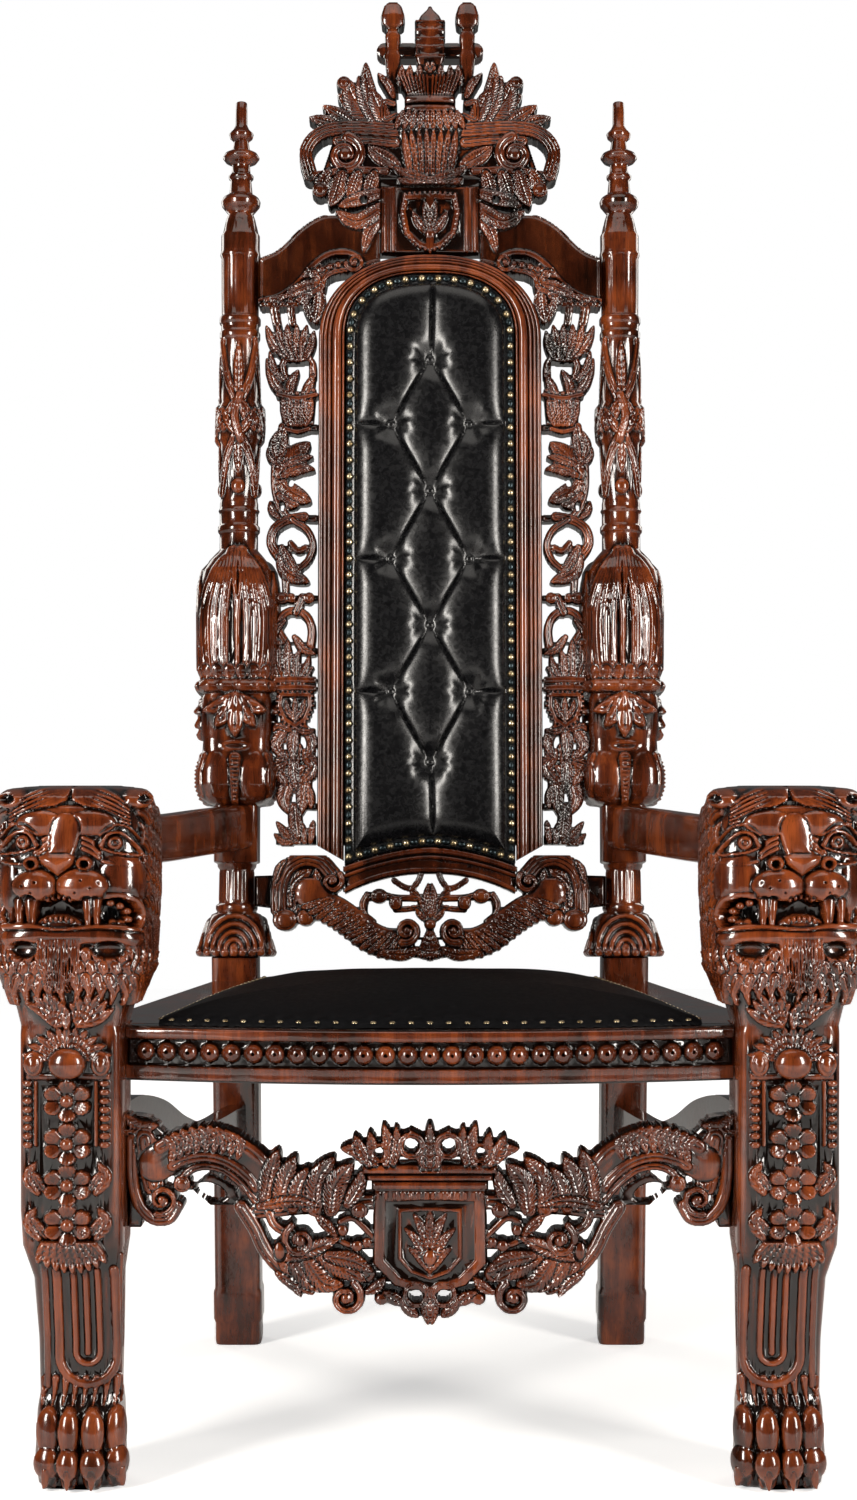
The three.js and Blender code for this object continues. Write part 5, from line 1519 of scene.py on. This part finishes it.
def studs(name, path, pitch, size, lift, place, material, between=False):
    """Domed heads along a path; size is the half length along it, the half width and the height."""
    path = np.array(path, float)
    reach = lengths(path)
    spot = lambda d: np.array([np.interp(d, reach, path[:, k]) for k in (0, 1)])
    count = int(round(reach[-1] / pitch))
    stops = (np.arange(count) + 0.5) if between else np.arange(count + 1)
    sectors, rings = 12, 4
    a = np.arange(sectors) * math.tau / sectors
    points, faces = [], []
    for d in stops * reach[-1] / count:
        at, ahead = spot(d), spot(d + 1) - spot(d - 1)
        ahead /= np.linalg.norm(ahead)
        base = len(points)
        for ring in range(rings + 1):
            polar = ring / rings * math.pi / 2
            wide, high = math.cos(polar) + 0.001, math.sin(polar)
            du = size[0] * wide * np.cos(a) * ahead[0] - size[1] * wide * np.sin(a) * ahead[1]
            dv = size[0] * wide * np.cos(a) * ahead[1] + size[1] * wide * np.sin(a) * ahead[0]
            where = place(at[0] + du, np.full(a.shape, -(lift + size[2] * high)), at[1] + dv)
            points += (where * MM).tolist()
        number, quads = ring_quads(rings + 1, sectors)
        faces += (quads + base).tolist()
        faces += [(number[-1] + base).tolist(), (number[0] + base).tolist()[::-1]]
    mesh = bpy.data.meshes.new(name)
    mesh.from_pydata(points, [], faces)
    mesh.update()
    return add_piece(name, mesh, material)


def upholstery():
    """Leather on the back and the seat, with the nails that hold it and the beads between them."""
    back = board_piece("back_leather", tufted_back(), on_back, 26.5, 0.32, ["back_cushion"], slot="leather",
                       finish=LEATHER)
    seat = board_piece("seat_leather", seat_dome(), on_seat, 1.0, 0.2, ["seat_cushion"], slot="leather",
                       finish=SEAT_LEATHER)
    low, top = back_outline(7)
    sides = np.concatenate([[[109, 182]], top, [[-109, 182]]])
    nail, bead = (5.2, 5.2, 4.4), (5.6, 4.2, 2.6)
    for edge, path in (("back", sides), ("low", low[2:-2])):
        studs(f"{edge}_nails", path, 22.5, nail, 0.4, on_back, BRASS)
        studs(f"{edge}_beads", path, 22.5, bead, 0.4, on_back, GUNMETAL, between=True)
    front, side, other = seat_outline(4.5)
    rim = np.concatenate([side[::-1][:-1], front[::-1], other[::-1][1:]])
    studs("seat_nails", rim, 20.5, (3.6, 3.6, 2.6), 3.6, on_seat, BRASS)


# ---- room, light and camera --------------------------------------------------------------------------
LAMPS = [  # name, place, what it faces, size, power
    ("key left", (-2.3, -2.6, 1.6), (0, 0, 0.8), (0.7, 2.0), 136),
    ("key right", (2.4, -2.5, 1.4), (0, 0, 0.8), (0.7, 2.0), 116),
    ("top", (0, -0.6, 3.4), (0, 0.1, 0.9), (2.4, 1.4), 17),
    ("back left", (-2.0, 2.4, 2.2), (0, 0.2, 1.1), (1.0, 2.0), 20),
    ("back right", (2.0, 2.4, 2.2), (0, 0.2, 1.1), (1.0, 2.0), 20),
]
FLOOR_HALF = 6.0      # metres
FLOOR_DROP = 0.0005   # metres; the floor lies this far under the feet


def room():
    """A white backdrop that lights the throne only faintly, and the floor."""
    world = bpy.data.worlds.new("studio")
    bpy.context.scene.world = world
    world.use_nodes = True
    tree = world.node_tree
    way = node(tree, "ShaderNodeTexCoord", "Generated")
    depth = node(tree, "ShaderNodeSeparateXYZ", "Y", [("Vector", way)])
    level = node(tree, "ShaderNodeMapRange", "Result", [("Value", depth)], From_Min=-0.1, From_Max=0.6,
                 To_Min=0.012, To_Max=0.08)
    seen = node(tree, "ShaderNodeLightPath", "Is Camera Ray")
    backdrop = node(tree, "ShaderNodeMath", 0, [(0, level), (1, seen)], operation="MAXIMUM")
    tree.links.new(backdrop, tree.nodes["Background"].inputs["Strength"])
    tree.nodes["Background"].inputs["Color"].default_value = (1.0, 1.0, 1.0, 1.0)
    bpy.context.scene.view_settings.view_transform = "Standard"
    line = np.linspace(-FLOOR_HALF, FLOOR_HALF, 25)
    x, y = np.meshgrid(line, line, indexing="ij")
    number = np.arange(x.size).reshape(x.shape)
    corners = [number[:-1, :-1], number[1:, :-1], number[1:, 1:], number[:-1, 1:]]
    quads = np.stack(corners, -1).reshape(-1, 4)
    points = np.stack([x, y, np.full(x.shape, -FLOOR_DROP)], -1).reshape(-1, 3)
    mesh = quad_mesh("studio_floor", points, quads)
    mesh.materials.append(studio_floor("pale studio floor"))
    floor = bpy.data.objects.new("studio_floor", mesh)
    bpy.context.scene.collection.objects.link(floor)


def lamps_and_camera():
    """Two tall lamps in front, one above, two faint ones behind, and the camera before the throne."""
    for name, place, aim, size, power in LAMPS:
        light = bpy.data.lights.new(name, "AREA")
        light.shape = "RECTANGLE"
        light.size, light.size_y = size
        light.energy = power
        light.color = linear("#fffaf3")[:3]
        lamp = bpy.data.objects.new(name, light)
        lamp.location = place
        lamp.rotation_euler = (Vector(aim) - Vector(place)).to_track_quat("-Z", "Y").to_euler()
        bpy.context.scene.collection.objects.link(lamp)
    camera = bpy.data.objects.new("camera", bpy.data.cameras.new("camera"))
    camera.location = (0, -3.088 + SHIFT * MM, 0.771)
    camera.rotation_euler = (math.radians(90), 0, 0)
    camera.data.lens = 60.5
    camera.data.sensor_width = 36
    camera.data.shift_x = -0.001
    camera.data.shift_y = 0.0167
    bpy.context.scene.collection.objects.link(camera)
    bpy.context.scene.camera = camera


# ---- the throne, piece by piece ----------------------------------------------------------------------
def plain_nodes():
    """Frame parts whose own shape is right get the real finish."""
    finishes = {"seat_rail_back": MAHOGANY_ACROSS, "back_board": CLOTH}
    for name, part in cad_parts.items():
        finish = next((f for key, f in finishes.items() if name.startswith(key)), MAHOGANY)
        part.data.materials.clear()
        part.data.materials.append(finish)


# after each carving: where it lies, the depth of its back in mm, and the share of its faces kept
plain_nodes()
board_piece("crest", crest(), on_back, 28, 0.4, ["crest_carving"])
pair(board_piece, "shoulder_left", shoulder(), on_back, 38, 0.4, replaced="shoulder_board_left")
pair(board_piece, "fret_left", fret(), on_back, 26, 0.45, replaced="fretwork_left")
board_piece("apron", apron(), on_back, 28, 0.45, ["back_apron"])
board_piece("stretcher", stretcher(), on_stretcher, 32, 0.35, ["front_stretcher"])
pair(wrapped_piece, "lion_left", lion(), LION_BODY, on_left_leg, 0.26, replaced="lion_leg_left", around=380)
pair(wrapped_piece, "post_left", post(), post_rows(POST_PROFILE), on_left_post, 0.23,
     replaced="back_post_left", around=200)
pair(wrapped_piece, "rear_leg_left", Carving((-190, 0), (190, 540), solid=True), post_rows(REAR_LEG),
     on_left_rear_leg, 0.2, replaced="back_post_left", around=80, rise=6)
back_frame()
board_piece("bottom_rail", bottom_rail(), on_back, 28, 0.4, ["back_bottom_rail"])
board_piece("front_rail", front_rail(), on_front_rail, 34, 0.4, ["seat_rail_front"])
pair(board_piece, "side_stretcher_left_smooth", side_stretcher(), on_side_stretcher, 26, 0.2,
     replaced="side_stretcher_left")
arm()
upholstery()
room()
lamps_and_camera()
